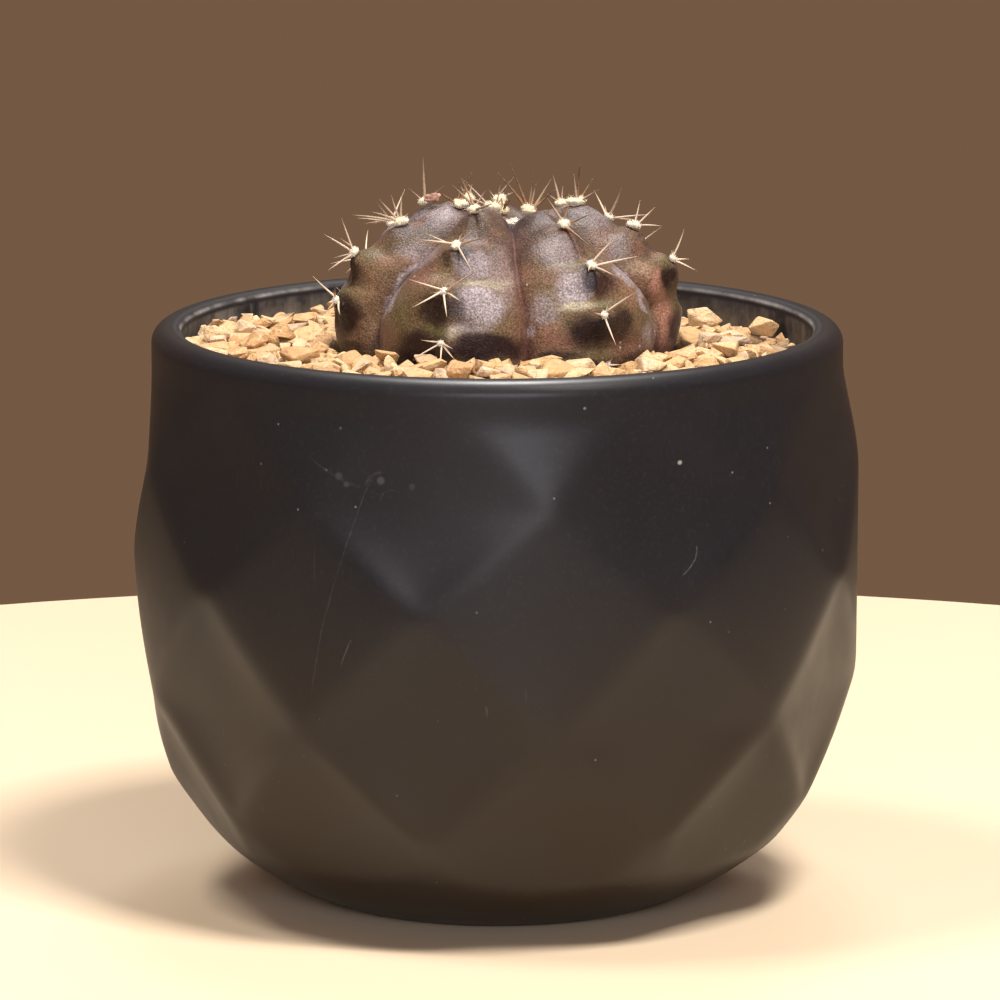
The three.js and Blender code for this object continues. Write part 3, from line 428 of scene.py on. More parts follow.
def material_stem():
    m, nt, bs = new_material("bronze_cactus_skin")
    co = coords(nt)
    groove = attribute(nt, "groove").outputs["Fac"]
    painted_sheen = attribute(nt, "painted_sheen").outputs["Fac"]
    painted_ledge_highlight = attribute(nt, "painted_ledge_highlight").outputs["Fac"]
    dark_pigment_and_shade = attribute(nt, "dark_pigment_and_shade").outputs["Fac"]
    blue_pigment_and_shade = attribute(nt, "blue_pigment_and_shade").outputs["Fac"]
    green = attribute(nt, "green").outputs["Fac"]
    red = attribute(nt, "red").outputs["Fac"]
    tan = attribute(nt, "tan").outputs["Fac"]
    n1, _ = noise_tex(nt, co, 130.0, 5.0, 0.6)
    n2, _ = noise_tex(nt, co, 420.0, 4.0, 0.65)
    n3, _ = noise_tex(nt, co, 3000.0, 3.0, 0.65)
    n4, _ = noise_tex(nt, co, 1500.0, 3.0, 0.6)
    d3, _ = voronoi(nt, co, 2600.0)
    # bronze to olive to plum
    col = ramp(nt, n1, [(0.30, (0.088, 0.048, 0.030)), (0.45, (0.122, 0.076, 0.040)), (0.58, (0.142, 0.094, 0.050)), (0.74, (0.114, 0.072, 0.052))])
    col = mix_color(nt, math_node(nt, "MULTIPLY", green, map_range(nt, n2, 0.35, 0.60, 0.5, 1.0)), col, (0.088, 0.078, 0.026))
    col = mix_color(nt, math_node(nt, "MULTIPLY", red, map_range(nt, n1, 0.30, 0.62, 0.5, 1.0)), col, (0.165, 0.068, 0.054))
    col = mix_color(nt, tan, col, (0.36, 0.185, 0.130))
    # painted sheen: a silvery lilac reflection of the frontal lamp on the front-facing flanks, broken up grain by grain
    sheen_grain = map_range(nt, n3, 0.36, 0.60, 0.72, 1.0)
    sv = math_node(nt, "MULTIPLY", painted_sheen, map_range(nt, n2, 0.30, 0.60, 0.80, 1.0))
    col = mix_color(nt, math_node(nt, "MULTIPLY", sv, sheen_grain), col, (0.345, 0.300, 0.325))
    # painted highlight: pale cream bands where the top of each areole's ledge catches the light
    col = mix_color(nt, math_node(nt, "MULTIPLY", painted_ledge_highlight, map_range(nt, n2, 0.30, 0.60, 0.45, 0.9)), col, (0.36, 0.315, 0.225))
    # dark and blue-black pigment below the areoles, partly painted shade under each areole's ledge
    dk = math_node(nt, "MULTIPLY", dark_pigment_and_shade, map_range(nt, n1, 0.26, 0.50, 0.75, 1.0), clamp=True)
    col = mix_color(nt, math_node(nt, "MULTIPLY", dk, 0.97), col, (0.0125, 0.0040, 0.0058))
    bl = math_node(nt, "MULTIPLY", blue_pigment_and_shade, map_range(nt, n2, 0.30, 0.58, 0.7, 1.0), clamp=True)
    col = mix_color(nt, math_node(nt, "MULTIPLY", bl, 0.92), col, (0.020, 0.020, 0.030))
    # groove colour: dark red, partly real colour and partly painted shade in the crease
    col = mix_color(nt, math_node(nt, "MULTIPLY", groove, map_range(nt, n2, 0.3, 0.6, 0.6, 1.0)), col, (0.092, 0.037, 0.028))
    # every grain of the skin a little lighter or darker
    grain = map_range(nt, n3, 0.34, 0.66, 0.64, 1.36)
    mott = map_range(nt, n4, 0.32, 0.68, 0.88, 1.12)
    g = math_node(nt, "MULTIPLY", grain, mott)
    grey = node(nt, "ShaderNodeCombineXYZ", {"X": g, "Y": g, "Z": g}).outputs[0]
    col = mix_color(nt, 1.0, col, grey, "MULTIPLY")
    # pale papillae, each a fraction of a millimetre
    pap = map_range(nt, d3, 0.10, 0.38, 1.0, 0.0)
    pap = math_node(nt, "MULTIPLY", pap, map_range(nt, n4, 0.46, 0.66, 0.0, 0.5))
    # papillae show brighter where the sheen is painted, as painted glints, and dimmer in the dark patches
    lift = math_node(nt, "MULTIPLY", pap, map_range(nt, painted_sheen, 0.0, 1.0, 0.45, 1.0))
    lift = math_node(nt, "MULTIPLY", lift, map_range(nt, dk, 0.0, 1.0, 1.0, 0.30))
    col = mix_color(nt, lift, col, (0.58, 0.50, 0.46))
    # corky scuffs and white specks
    ds, cs = voronoi(nt, co, 620.0)
    pk = node(nt, "ShaderNodeSeparateColor", {"Color": cs}).outputs[0]
    sp = math_node(nt, "MULTIPLY", map_range(nt, ds, 0.07, 0.18, 1.0, 0.0), map_range(nt, pk, 0.84, 0.88, 0.0, 1.0))
    sp = math_node(nt, "MULTIPLY", sp, map_range(nt, red, 0.1, 0.8, 0.15, 1.0))
    col = mix_color(nt, math_node(nt, "MULTIPLY", sp, 0.8), col, (0.58, 0.52, 0.46))
    nt.links.new(col, bs.inputs["Base Color"])
    rough = map_range(nt, n2, 0.3, 0.7, 0.42, 0.56)
    rough = math_node(nt, "ADD", rough, math_node(nt, "MULTIPLY", groove, 0.40), clamp=True)
    nt.links.new(rough, bs.inputs["Roughness"])
    h = math_node(nt, "ADD", math_node(nt, "MULTIPLY", map_range(nt, d3, 0.0, 0.6, 1.0, 0.0), 0.5), math_node(nt, "MULTIPLY", n3, 0.8))
    h2 = bump(nt, n2, 0.4, 0.0003)
    nt.links.new(bump(nt, h, 0.8, 0.00014, h2), bs.inputs["Normal"])
    bs.inputs["Specular IOR Level"].default_value = 0.28
    bs.inputs["Subsurface Weight"].default_value = 0.05
    bs.inputs["Subsurface Radius"].default_value = (0.0012, 0.0006, 0.0004)
    bs.inputs["Subsurface Scale"].default_value = 1.0
    bs.inputs["Sheen Weight"].default_value = 0.03
    bs.inputs["Sheen Roughness"].default_value = 0.4
    bs.inputs["Sheen Tint"].default_value = (0.86, 0.80, 0.92, 1.0)
    return m


def material_spine():
    m, nt, bs = new_material("horny_spine")
    co = coords(nt)
    t = attribute(nt, "along").outputs["Fac"]
    tone = attribute(nt, "tone").outputs["Fac"]
    n1, _ = noise_tex(nt, co, 900.0, 3.0, 0.6)
    pale = ramp(nt, t, [(0.0, (0.66, 0.53, 0.40)), (0.30, (0.76, 0.63, 0.50)), (0.62, (0.72, 0.57, 0.43)), (0.86, (0.54, 0.38, 0.25)), (1.0, (0.32, 0.19, 0.11))])
    brown = ramp(nt, t, [(0.0, (0.42, 0.25, 0.11)), (0.2, (0.21, 0.105, 0.045)), (0.7, (0.085, 0.040, 0.020)), (1.0, (0.04, 0.020, 0.013))])
    col = mix_color(nt, tone, pale, brown)
    col = mix_color(nt, map_range(nt, n1, 0.4, 0.7, 0.0, 0.20), col, (0.62, 0.47, 0.30))
    nt.links.new(col, bs.inputs["Base Color"])
    nt.links.new(map_range(nt, n1, 0.3, 0.7, 0.38, 0.56), bs.inputs["Roughness"])
    nt.links.new(bump(nt, n1, 0.25, 0.00005), bs.inputs["Normal"])
    bs.inputs["Subsurface Weight"].default_value = 0.15
    bs.inputs["Subsurface Radius"].default_value = (0.0008, 0.0005, 0.0003)
    return m


def material_wool():
    m, nt, bs = new_material("areole_wool")
    co = coords(nt)
    age = attribute(nt, "age").outputs["Fac"]
    n1, _ = noise_tex(nt, co, 700.0, 3.0, 0.6)
    fresh = mix_color(nt, n1, (0.74, 0.60, 0.34), (0.87, 0.79, 0.58))
    old = mix_color(nt, n1, (0.66, 0.60, 0.50), (0.86, 0.83, 0.76))
    nt.links.new(mix_color(nt, age, fresh, old), bs.inputs["Base Color"])
    nt.links.new(map_range(nt, n1, 0.3, 0.7, 0.78, 0.95), bs.inputs["Roughness"])
    nt.links.new(bump(nt, n1, 0.4, 0.0001), bs.inputs["Normal"])
    bs.inputs["Specular IOR Level"].default_value = 0.2
    bs.inputs["Subsurface Weight"].default_value = 0.25
    bs.inputs["Subsurface Radius"].default_value = (0.0009, 0.0007, 0.0005)
    bs.inputs["Sheen Weight"].default_value = 0.5
    return m


def material_stone():
    m, nt, bs = new_material("tan_stone_chips")
    co = coords(nt)
    rnd = attribute(nt, "chip")
    cr = node(nt, "ShaderNodeSeparateColor", {"Color": rnd.outputs["Color"]})
    a, b, c = cr.outputs[0], cr.outputs[1], cr.outputs[2]
    shift = node(nt, "ShaderNodeVectorMath", {0: co, 1: rnd.outputs["Vector"]}, operation="ADD").outputs[0]
    n1, _ = noise_tex(nt, shift, 190.0, 5.0, 0.6, 0.3)
    n2, _ = noise_tex(nt, shift, 900.0, 4.0, 0.65)
    n3, _ = noise_tex(nt, co, 3200.0, 2.0, 0.6)
    light = ramp(nt, a, [(0.0, (0.38, 0.195, 0.085)), (0.25, (0.50, 0.295, 0.140)), (0.55, (0.58, 0.375, 0.205)), (0.80, (0.68, 0.50, 0.31)), (0.92, (0.60, 0.455, 0.32)), (1.0, (0.42, 0.31, 0.24))])
    stain = mix_color(nt, map_range(nt, n1, 0.36, 0.66, 0.0, 0.65), light, (0.66, 0.43, 0.20))
    rust = math_node(nt, "MULTIPLY", map_range(nt, n1, 0.58, 0.72, 0.0, 0.75), map_range(nt, b, 0.45, 0.9, 0.0, 1.0))
    col = mix_color(nt, rust, stain, (0.30, 0.135, 0.045))
    chalk = math_node(nt, "MULTIPLY", map_range(nt, n2, 0.52, 0.70, 0.0, 0.55), map_range(nt, c, 0.2, 0.8, 0.25, 1.0))
    col = mix_color(nt, chalk, col, (0.86, 0.66, 0.44))
    dq, _ = voronoi(nt, shift, 820.0)
    pore = math_node(nt, "MULTIPLY", map_range(nt, dq, 0.08, 0.30, 1.0, 0.0), map_range(nt, n2, 0.44, 0.60, 0.0, 0.45))
    col = mix_color(nt, pore, col, (0.32, 0.19, 0.09))
    grit = map_range(nt, n3, 0.60, 0.74, 0.0, 0.5)
    col = mix_color(nt, grit, col, (0.24, 0.15, 0.075))
    # painted shade: the stones darken low down between each other
    z = node(nt, "ShaderNodeSeparateXYZ", {"Vector": co}).outputs[2]
    col = mix_color(nt, map_range(nt, z, 0.0878, 0.0852, 0.0, 0.55), col, (0.13, 0.075, 0.035))
    nt.links.new(col, bs.inputs["Base Color"])
    nt.links.new(map_range(nt, n2, 0.3, 0.7, 0.62, 0.88), bs.inputs["Roughness"])
    nm, _ = noise_tex(nt, shift, 430.0, 5.0, 0.62, 0.4)
    dp, _ = voronoi(nt, shift, 820.0)
    pits = math_node(nt, "MULTIPLY", map_range(nt, dp, 0.10, 0.42, 1.0, 0.0), map_range(nt, nm, 0.45, 0.62, 0.0, 0.9))
    h = math_node(nt, "ADD", math_node(nt, "MULTIPLY", n2, 0.5), math_node(nt, "MULTIPLY", nm, 1.1))
    h = math_node(nt, "SUBTRACT", h, math_node(nt, "MULTIPLY", pits, 0.35))
    hb = bump(nt, h, 1.0, 0.00085)
    nt.links.new(bump(nt, n3, 0.5, 0.00012, hb), bs.inputs["Normal"])
    bs.inputs["Specular IOR Level"].default_value = 0.35
    bs.inputs["Subsurface Weight"].default_value = 0.05
    bs.inputs["Subsurface Radius"].default_value = (0.001, 0.0006, 0.0003)
    return m


def material_soil():
    m, nt, bs = new_material("potting_mix")
    co = coords(nt)
    n1, _ = noise_tex(nt, co, 260.0, 6.0, 0.7)
    d, c = voronoi(nt, co, 420.0)
    pk = node(nt, "ShaderNodeSeparateColor", {"Color": c}).outputs[0]
    col = ramp(nt, n1, [(0.3, (0.012, 0.008, 0.006)), (0.55, (0.040, 0.026, 0.017)), (0.75, (0.085, 0.056, 0.035))])
    grain = math_node(nt, "MULTIPLY", map_range(nt, d, 0.2, 0.45, 1.0, 0.0), map_range(nt, pk, 0.86, 0.9, 0.0, 1.0))
    col = mix_color(nt, grain, col, (0.55, 0.50, 0.42))
    nt.links.new(col, bs.inputs["Base Color"])
    bs.inputs["Roughness"].default_value = 0.95
    nt.links.new(bump(nt, n1, 0.9, 0.0012), bs.inputs["Normal"])
    return m


def material_bud():
    m, nt, bs = new_material("dried_bud")
    co = coords(nt)
    n1, _ = noise_tex(nt, co, 520.0, 4.0, 0.6)
    col = ramp(nt, n1, [(0.3, (0.20, 0.10, 0.07)), (0.55, (0.40, 0.22, 0.165)), (0.75, (0.56, 0.38, 0.30))])
    nt.links.new(col, bs.inputs["Base Color"])
    nt.links.new(map_range(nt, n1, 0.3, 0.7, 0.6, 0.85), bs.inputs["Roughness"])
    nt.links.new(bump(nt, n1, 0.6, 0.0002), bs.inputs["Normal"])
    bs.inputs["Subsurface Weight"].default_value = 0.1
    bs.inputs["Subsurface Radius"].default_value = (0.001, 0.0005, 0.0004)
    return m


GLAZE = material_glaze()
SKIN = material_stem()
SPINE = material_spine()
WOOL = material_wool()
STONE = material_stone()
SOIL = material_soil()
BUD = material_bud()


# ------------------------------------------------------------------ the pot
def build_pot():
    NC = 324
    az = PHASE + np.arange(NC) * 360.0 / NC
    zf = np.arange(0.0, 88.01, 0.5)
    r = pot_radius(az[None, :], zf[:, None])
    # glaze softens every edge of the relief
    r = blur_rows(r, 1.25, True)
    z_keep = zf
    r2 = blur_rows(r, 2.4, False)
    # keep the flat foot's edge crisp enough
    k = smoothstep(0.0, 3.0, zf)[:, None]
    r = r2 * k + r * (1 - k)
    # collar stays a true circle near the lip
    k = smoothstep(84.5, 87.5, zf)[:, None]
    r = r * (1 - k) + RCOL * k
    rows = [(r[i], np.full(NC, z_keep[i]), 0, 0) for i in range(len(zf))]

    def arc(cx, cz, rx, rz, a0, a1, n, inner=0, lip=0):
        out = []
        for a in np.linspace(a0, a1, n):
            out.append((np.full(NC, cx + rx * math.cos(a)), np.full(NC, cz + rz * math.sin(a)), inner, lip))
        return out

    # lip: round outer shoulder, nearly flat crest, small inner edge
    rows += arc(52.35, 88.9, 2.65, 2.65, 0.02, math.pi / 2, 14)
    rows.append((np.full(NC, 52.0), np.full(NC, POT_H - 0.04), 0, 0.0))
    rows.append((np.full(NC, 51.7), np.full(NC, POT_H - 0.10), 0, 0.0))
    for a, lp in zip(np.linspace(math.pi / 2, math.pi, 8), (0.0, 0.0, 0.0, 0.1, 0.7, 1.0, 0.2, 0.0)):
        rows.append((np.full(NC, 51.35 + 1.15 * math.cos(a)), np.full(NC, 90.25 + 1.2 * math.sin(a)), 0.65, lp))
    for rr, zz in ((50.2, 89.6), (50.2, 88.8), (50.22, 88.0), (50.25, 87.0), (50.3, 86.0), (50.35, 84.5), (50.42, 82), (50.5, 79), (51.0, 70), (51.4, 62), (51.3, 54),
                   (51.2, 46), (50.4, 38), (49.2, 32), (47.4, 26), (44.8, 20), (41.8, 15.8), (38, 12), (34, 9.6), (30, 7.6), (26, 6.5), (22, 6.0), (12, 6.0), (5.6, 6.0),
                   (5.1, 5.8), (5.0, 5.3), (5.0, 2.3), (5.1, 1.8), (5.6, 1.6), (13, 1.6), (20.8, 1.6), (21.5, 1.5), (22.0, 1.0), (22.3, 0.3), (22.7, 0.0), (25.5, 0.0), (27.9, 0.0)):
        rows.append((np.full(NC, rr), np.full(NC, zz), 1, 0))
    n = len(rows)
    R = np.array([a for a, _, _, _ in rows])
    Z = np.array([b for _, b, _, _ in rows])
    inner = np.repeat(np.array([c for _, _, c, _ in rows], float)[:, None], NC, 1)
    lip = np.repeat(np.array([d for _, _, _, d in rows], float)[:, None], NC, 1)
    a = np.radians(az)[None, :]
    P = np.stack([R * np.sin(a), -R * np.cos(a), Z], -1)
    # hand-finished: the wall wanders by a tenth of a millimetre
    w = fbm(P / 26.0, 2, 5) * 0.10
    body = ((Z > 4) & (Z < 90)).astype(float) * (inner < 0.5)
    P[..., 0] += w * np.sin(a) * body
    P[..., 1] -= w * np.cos(a) * body
    faces = grid_faces(n, NC, True, True)
    inner_wall = inner * (Z > 60)
    ob = mesh_object("glazed_pot", P.reshape(-1, 3), faces.tolist(), [GLAZE],
                     colors={"inner": inner_wall.ravel(), "lip": lip.ravel()})
    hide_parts("pot")
    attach(ob, "root")
    return ob


build_pot()


# Areoles: name, point on the stem, outward normal, spine tips from the cushion's centre (mm)
AREOLES = [
    ("left_2", (-25.05, -8.58, 96.74), (-0.936, -0.315, 0.157), [(-2.95, 0.68, 3.6), (-0.75, -0.95, -1.81), (1.5, -6.42, -1.43)]),
    ("left_3", (-22.15, -7.6, 103.95), (-0.765, -0.257, 0.591), [(-1.5, 0.98, 4.9), (-4.3, 0.52, 2.4), (-3.7, -2.18, -3.05), (-2.9, -0.18, -1.35)]),
    ("left_4", (-15.11, -5.24, 108.2), (-0.381, -0.128, 0.916), [(-7.36, 0.1, 0.53), (-4.35, 0.19, 1), (-3.09, 0.56, 3.02), (-1.19, 0.68, 3.64), (0.55, 0.68, 3.64)]),
    ("front_left_1", (-8.63, -25.68, 92.72), (-0.374, -0.927, -0.031), [(-2.78, -0.22, 0.74), (-3.87, -0.39, -2.09), (0.18, -1.63, -3.29), (2.52, -2.95, -1.93), (2.21, -2.39, -0.29)]),
    ("front_left_2", (-8.09, -24.35, 100.58), (-0.349, -0.863, 0.366), [(-5.37, 0.12, 1.75), (-4.75, -1.93, -2.47), (0.71, -4.68, -3.55), (2.89, -4.17, -1.11), (5.7, -4.76, 3.92)]),
    ("front_left_3", (-6.25, -19.79, 106.88), (-0.242, -0.599, 0.763), [(-4.72, 0.27, 1.44), (-5.81, -1.11, 0.59), (3.57, -1.46, 2.56), (4.82, -5.11, 1.49), (2.79, -6.46, -3.83)]),
    ("front_left_4", (-3.49, -12.96, 111.38), (-0.15, -0.372, 0.916), [(-3.4, 0.6, 3.24), (-1.98, 0.8, 4.32), (1.94, 0.46, 2.46), (2.88, -5.33, 1.14)]),
    ("front_right_1", (17.1, -22.3, 88.7), (0.56, -0.8, -0.2), [(-1.4, -1.2, 0.5), (1.6, -1.0, 0.6), (0.2, -1.7, -0.7), (-1.0, -1.4, -0.5), (1.2, -1.3, -0.5), (0.1, -1.2, 1.4)]),
    ("front_right_2", (16.52, -23.36, 96.76), (0.515, -0.843, 0.157), [(4.56, 0.55, 3.52), (1.43, -2.66, -4.46), (-2.16, -3.09, 0.87)]),
    ("front_right_3", (14.59, -20.2, 103.8), (0.337, -0.552, 0.763), [(3.61, 0.72, 3.86), (7.21, 0.12, 0.95), (3.45, -4.51, -1.53), (-0.77, -5.49, -0.55)]),
    ("front_right_4", (10.39, -13.33, 109.1), (0.209, -0.343, 0.916), [(-2.79, 0.65, 3.49), (0.82, 0.53, 2.88), (4.12, 0.04, 1.05), (3.96, -6.73, -3.12)]),
    ("front_right_5", (5.24, -4.88, 109.85), (-0.212, 0.348, 0.913), [(-4.98, 1.02, 5.47), (-2.93, 1.25, 6.71), (0.71, 0.93, 5), (1.18, 0.67, 3.6), (3.55, 0.81, 4.37), (4.34, 0.52, 2.82)]),
    ("right_1", (27.6, 7.41, 92.25), (0.9, 0.38, 0.21), [(0.2, 3.2, -1.4), (-0.2, 3.0, 1.2), (-0.4, 1.9, 2.2), (0.6, 1.8, -2.4)]),
    ("right_2", (27.51, -2.64, 102.21), (0.801, -0.098, 0.591), [(1.17, 0.77, 4.15), (1.96, -0.1, -0.53), (3.22, -0.49, -2.39)]),
    ("right_3", (21.68, -1.92, 107.24), (0.511, -0.063, 0.857), [(0.36, 0.62, 3.35), (2.74, 0.42, 2.26), (3.85, -0.13, -0.7)]),
    ("back_right_4", (10.3, 10.9, 108.62), (-0.05, 0.2, 0.98), [(-1.3, 1.0, 3.8), (0.3, 1.4, 2.0), (2.2, 1.6, 0.7), (-2.4, 1.2, 0.9)]),
    ("back_right_3", (17.77, 15.78, 105.75), (0.465, 0.449, 0.763), [(4.21, 2.87, -1.35), (-1, 5.55, 0.7), (6.23, -0.17, -0.02), (-2.74, 2.8, 3.45), (1.58, -3.11, 4.71)]),
    ("back_right_2", (21.3, 19.19, 100.04), (0.669, 0.646, 0.366), [(3.6, 2.73, -4.27), (-1.09, 5.29, -0.65), (5.16, -0.96, -1.13), (-1.34, 3.24, 3.77), (4.3, -1.93, 3.86)]),
    ("back_right_1", (22.22, 20.08, 92.05), (0.719, 0.694, -0.031), [(2.41, 1.22, -3.38), (-0.57, 4.35, -2.11), (3.97, -0.32, -2.94), (0.5, 3.09, 2.56)]),
    ("back_4", (0.4, 9.6, 108.9), (-0.02, 0.05, 0.99), [(-1.7, 0.3, 1.5), (0.1, 0.3, 2.2), (1.5, 0.2, 1.1)]),
    ("back_3", (-1.21, 20.48, 107), (-0.08, 0.508, 0.857), [(-0.8, 4.33, -0.47), (-4.4, 3.12, 0.58), (4.32, 5.68, 0.81), (-4.16, -1.3, 3.72), (4.03, -0.58, 4.09)]),
    ("back_2", (-2.11, 26.16, 101.78), (-0.126, 0.797, 0.591), [(-1.53, 4.51, -2.56), (-6.05, 3.34, -0.52), (4.13, 5.03, -0.89), (-3.16, -0.21, 3.78), (3.37, 1.23, 3.03)]),
    ("back_1", (-2.47, 28.39, 93.97), (-0.156, 0.987, -0.031), [(0.55, 2.12, -4.62), (-4.62, 2.04, -3.83), (4.77, 3.7, -2.8), (-3.86, 1.73, 1.58), (3.08, 3.02, 2.23)]),
    ("back_left_5", (-4.71, 4.83, 110.35), (0.107, -0.069, 0.992), [(0.6, 1.2, 1.6), (-0.8, 0.7, 1.7), (-1.3, -0.2, 1.5)]),
    ("back_left_4", (-11.41, 9.17, 109.2), (-0.337, 0.219, 0.916), [(-0.02, 1.18, 6.33), (-2.42, 0.3, 1.62), (3.33, 0.36, 1.93)]),
    ("back_left_3", (-16.69, 12.61, 105.59), (-0.542, 0.352, 0.763), [(-4.04, 4.26, -1.5), (-5.14, -1.65, 0.3), (-1.61, 7.1, -0.12), (-1.92, -2.89, 2.96), (2.54, 2.38, 4.37)]),
    ("back_left_2", (-20.79, 15.27, 99.65), (-0.78, 0.507, 0.366), [(-2.92, 2.28, -3.52), (-5.09, -2.08, -1.08), (-1.3, 6.44, -2.88), (-3.43, -2.39, 3.11), (0.88, 4.61, 3.39)]),
    ("back_left_1", (-21.64, 15.82, 91.66), (-0.838, 0.544, -0.031), [(-2.16, 1.18, -3.3), (-4.13, -1.74, -1.2), (-0.11, 5.63, -1.52), (-3.3, 0.11, 3.13)]),
    ("left_5", (-6.1, -2.6, 110.47), (0.12, 0.04, 0.99), [(-3.85, -0.98, 1.8), (-0.05, 0.5, 2.95), (2.0, 0.79, 4.5)]),
    ("front_left_5", (-0.49, -5.53, 110.37), (0.153, 0.378, 0.913), [(-0.9, 0.6, 1.5), (0.6, 0.4, 1.7), (1.1, 0.9, 0.9)]),
    ("right_4", (12.5, -0.84, 110.64), (0.2, 0.05, 0.98), [(0.3, -0.6, 5.5), (-0.6, -0.3, 4.0), (3.4, -1.2, 1.6), (2.5, 2.2, 2.9)]),
    ("back_5", (1.11, 5.83, 108.3), (0.064, -0.402, 0.913), [(0.9, 0.2, 1.3), (-0.6, 0.5, 1.6), (0.3, -0.8, 1.4)]),
]


# ------------------------------------------------------------------ stem shape (mm, degrees)
STEM_X, STEM_Y = 1.95, 0.5
# rib crests and the grooves after them, counterclockwise: azimuth near the crown and at the foot
CREST_TOP = np.array([31.4, 83, 134, 189, 237, 288.6, 338])
CREST_LOW = np.array([35.0, 98, 136, 189, 236, 281.0, 338])
GROOVE_TOP = np.array([54.5, 108.5, 161.5, 213, 262.8, 314.0, 363.0])
GROOVE_LOW = np.array([74.0, 118.0, 163.5, 212.5, 259.5, 299.5, 366.5])
CREST = np.array([[0, 106.6], [2.5, 107.8], [5.5, 109.6], [9, 110.7], [12.5, 110.5], [16.2, 109.1], [19.8, 107.3], [23.2, 104.9],
                  [25.7, 102.3], [27.3, 99.3], [28.1, 96.2], [28.3, 93.0], [27.9, 89.8], [26.8, 86.8], [24.9, 83.9], [22.0, 81.3],
                  [18, 79.3], [13, 77.6], [9, 75.6], [6.5, 72.5], [5.2, 68.5], [4.2, 65.0]])
GROOVE = np.array([[0, 106.6], [2.2, 106.7], [4.6, 107.0], [7.4, 107.1], [10.6, 106.6], [13.8, 105.4], [16.7, 103.7], [19.1, 101.6],
                   [21.0, 99.1], [22.2, 96.4], [22.9, 93.6], [23.1, 91.0], [22.9, 88.4], [22.3, 85.8], [21.2, 83.4], [19.5, 81.2],
                   [16.6, 79.3], [12.6, 77.6], [9, 75.6], [6.5, 72.5], [5.2, 68.5], [4.2, 65.0]])


def catmull(points, t):
    """Points on a Catmull-Rom curve at float row numbers t."""
    p = np.asarray(points, float)
    n = len(p)
    i = np.clip(np.floor(t).astype(int), 0, n - 2)
    f = (t - i)[..., None]
    a, b, c, d = p[np.maximum(i - 1, 0)], p[i], p[i + 1], p[np.minimum(i + 2, n - 1)]
    return 0.5 * (2 * b + (c - a) * f + (2 * a - 5 * b + 4 * c - d) * f ** 2 + (3 * b - a - 3 * c + d) * f ** 3)


NOTCH = (0, 0.95, 1.25, 1.15, 0.7, 0)
NOTCH_UP = 2.7
SWELL = {"left_3": 1.0, "left_2": 0.5}


def drift(t):
    return smoothstep(8.5, 12.0, t)


def groove_drift(t):
    return smoothstep(5.6, 10.4, t)


def rib_phase(az, t):
    """Signed phase in a rib: -1 at its left groove, 0 on the crest, 1 at its right groove."""
    a = np.asarray(az, float)[..., None] % 360
    w = drift(np.asarray(t, float))[..., None]
    v = groove_drift(np.asarray(t, float))[..., None]
    c = CREST_TOP * (1 - w) + CREST_LOW * w
    g = GROOVE_TOP * (1 - v) + GROOVE_LOW * v
    d = (a - c + 180) % 360 - 180
    right = (g - c) % 360
    left = (c - np.roll(g, 1, -1)) % 360
    ph = np.where(d >= 0, d / right, d / left)
    k = np.abs(ph).argmin(-1)
    return np.take_along_axis(ph, k[..., None], -1)[..., 0]


def bell(az, centre, width):
    return np.exp(-(((np.asarray(az, float) - centre + 180) % 360 - 180) / width) ** 2)


def stem_point(az, t):
    sp = rib_phase(az, t)
    u = np.clip(np.abs(sp), 0, 1)
    s = 0.62 * (1 - u ** 1.3) + 0.38 * (1 - u ** 3.5) ** 0.7
    c, g = catmull(CREST, t), catmull(GROOVE, t)
    upper = 1 - smoothstep(9.5, 11.0, t)
    lift = 1.7 * np.exp(-((c[..., 0] - 16) / 8.5) ** 2) * bell(az, -22, 17) * upper
    lift = lift - (1.4 * bell(az, 134, 26) + 1.8 * bell(az, 189, 24)) * np.exp(-((c[..., 0] - 9) / 7) ** 2) * upper
    r = g[..., 0] + (c[..., 0] - g[..., 0]) * s
    r = r - bell(az, 92, 26) * (0.45 * smoothstep(8.5, 10.0, t) + 0.95 * np.exp(-((t - 9.9) / 0.75) ** 2)) * smoothstep(16.0, 14.0, t)
    r = r + bell(az, 284, 22) * 1.0 * np.exp(-((t - 6.3) / 0.7) ** 2)
    z = g[..., 1] + (c[..., 1] - g[..., 1]) * s + lift
    a = np.radians(az)
    return np.stack([STEM_X + r * np.sin(a), STEM_Y - r * np.cos(a), z], -1), sp, s


def stem_columns(per, t):
    """Azimuths of 2 * per columns for each rib at rows t, so that a column runs down every crest and groove."""
    w = drift(np.asarray(t, float))[:, None]
    v = groove_drift(np.asarray(t, float))[:, None]
    out = []
    for i in range(7):
        c = CREST_TOP[i] * (1 - w) + CREST_LOW[i] * w
        r = (GROOVE_TOP[i] * (1 - v) + GROOVE_LOW[i] * v - c) % 360
        l = (c - GROOVE_TOP[i - 1] * (1 - v) - GROOVE_LOW[i - 1] * v) % 360
        f = np.arange(-per, per)[None, :] / per
        out.append(c + np.where(f < 0, f * l, f * r))
    return np.concatenate(out, 1)


def grid_normals(P):
    """Outward normals of a grid of points, rows top to bottom, columns counterclockwise seen from above."""
    du = np.roll(P, -1, 1) - np.roll(P, 1, 1)
    dv = np.empty_like(P)
    dv[1:-1] = P[:-2] - P[2:]
    dv[0], dv[-1] = P[0] - P[1], P[-2] - P[-1]
    n = np.cross(du, dv)
    return n / np.maximum(np.linalg.norm(n, axis=-1, keepdims=True), 1e-9)


def unit(v):
    v = np.asarray(v, float)
    return v / np.linalg.norm(v)


CAM_AT = np.array([0.45, -1300.0, 304.8243])
CAM_DIR = np.array([0.0, math.cos(0.1839), -math.sin(0.1839)])
CAM_UP = np.array([0.0, math.sin(0.1839), math.cos(0.1839)])


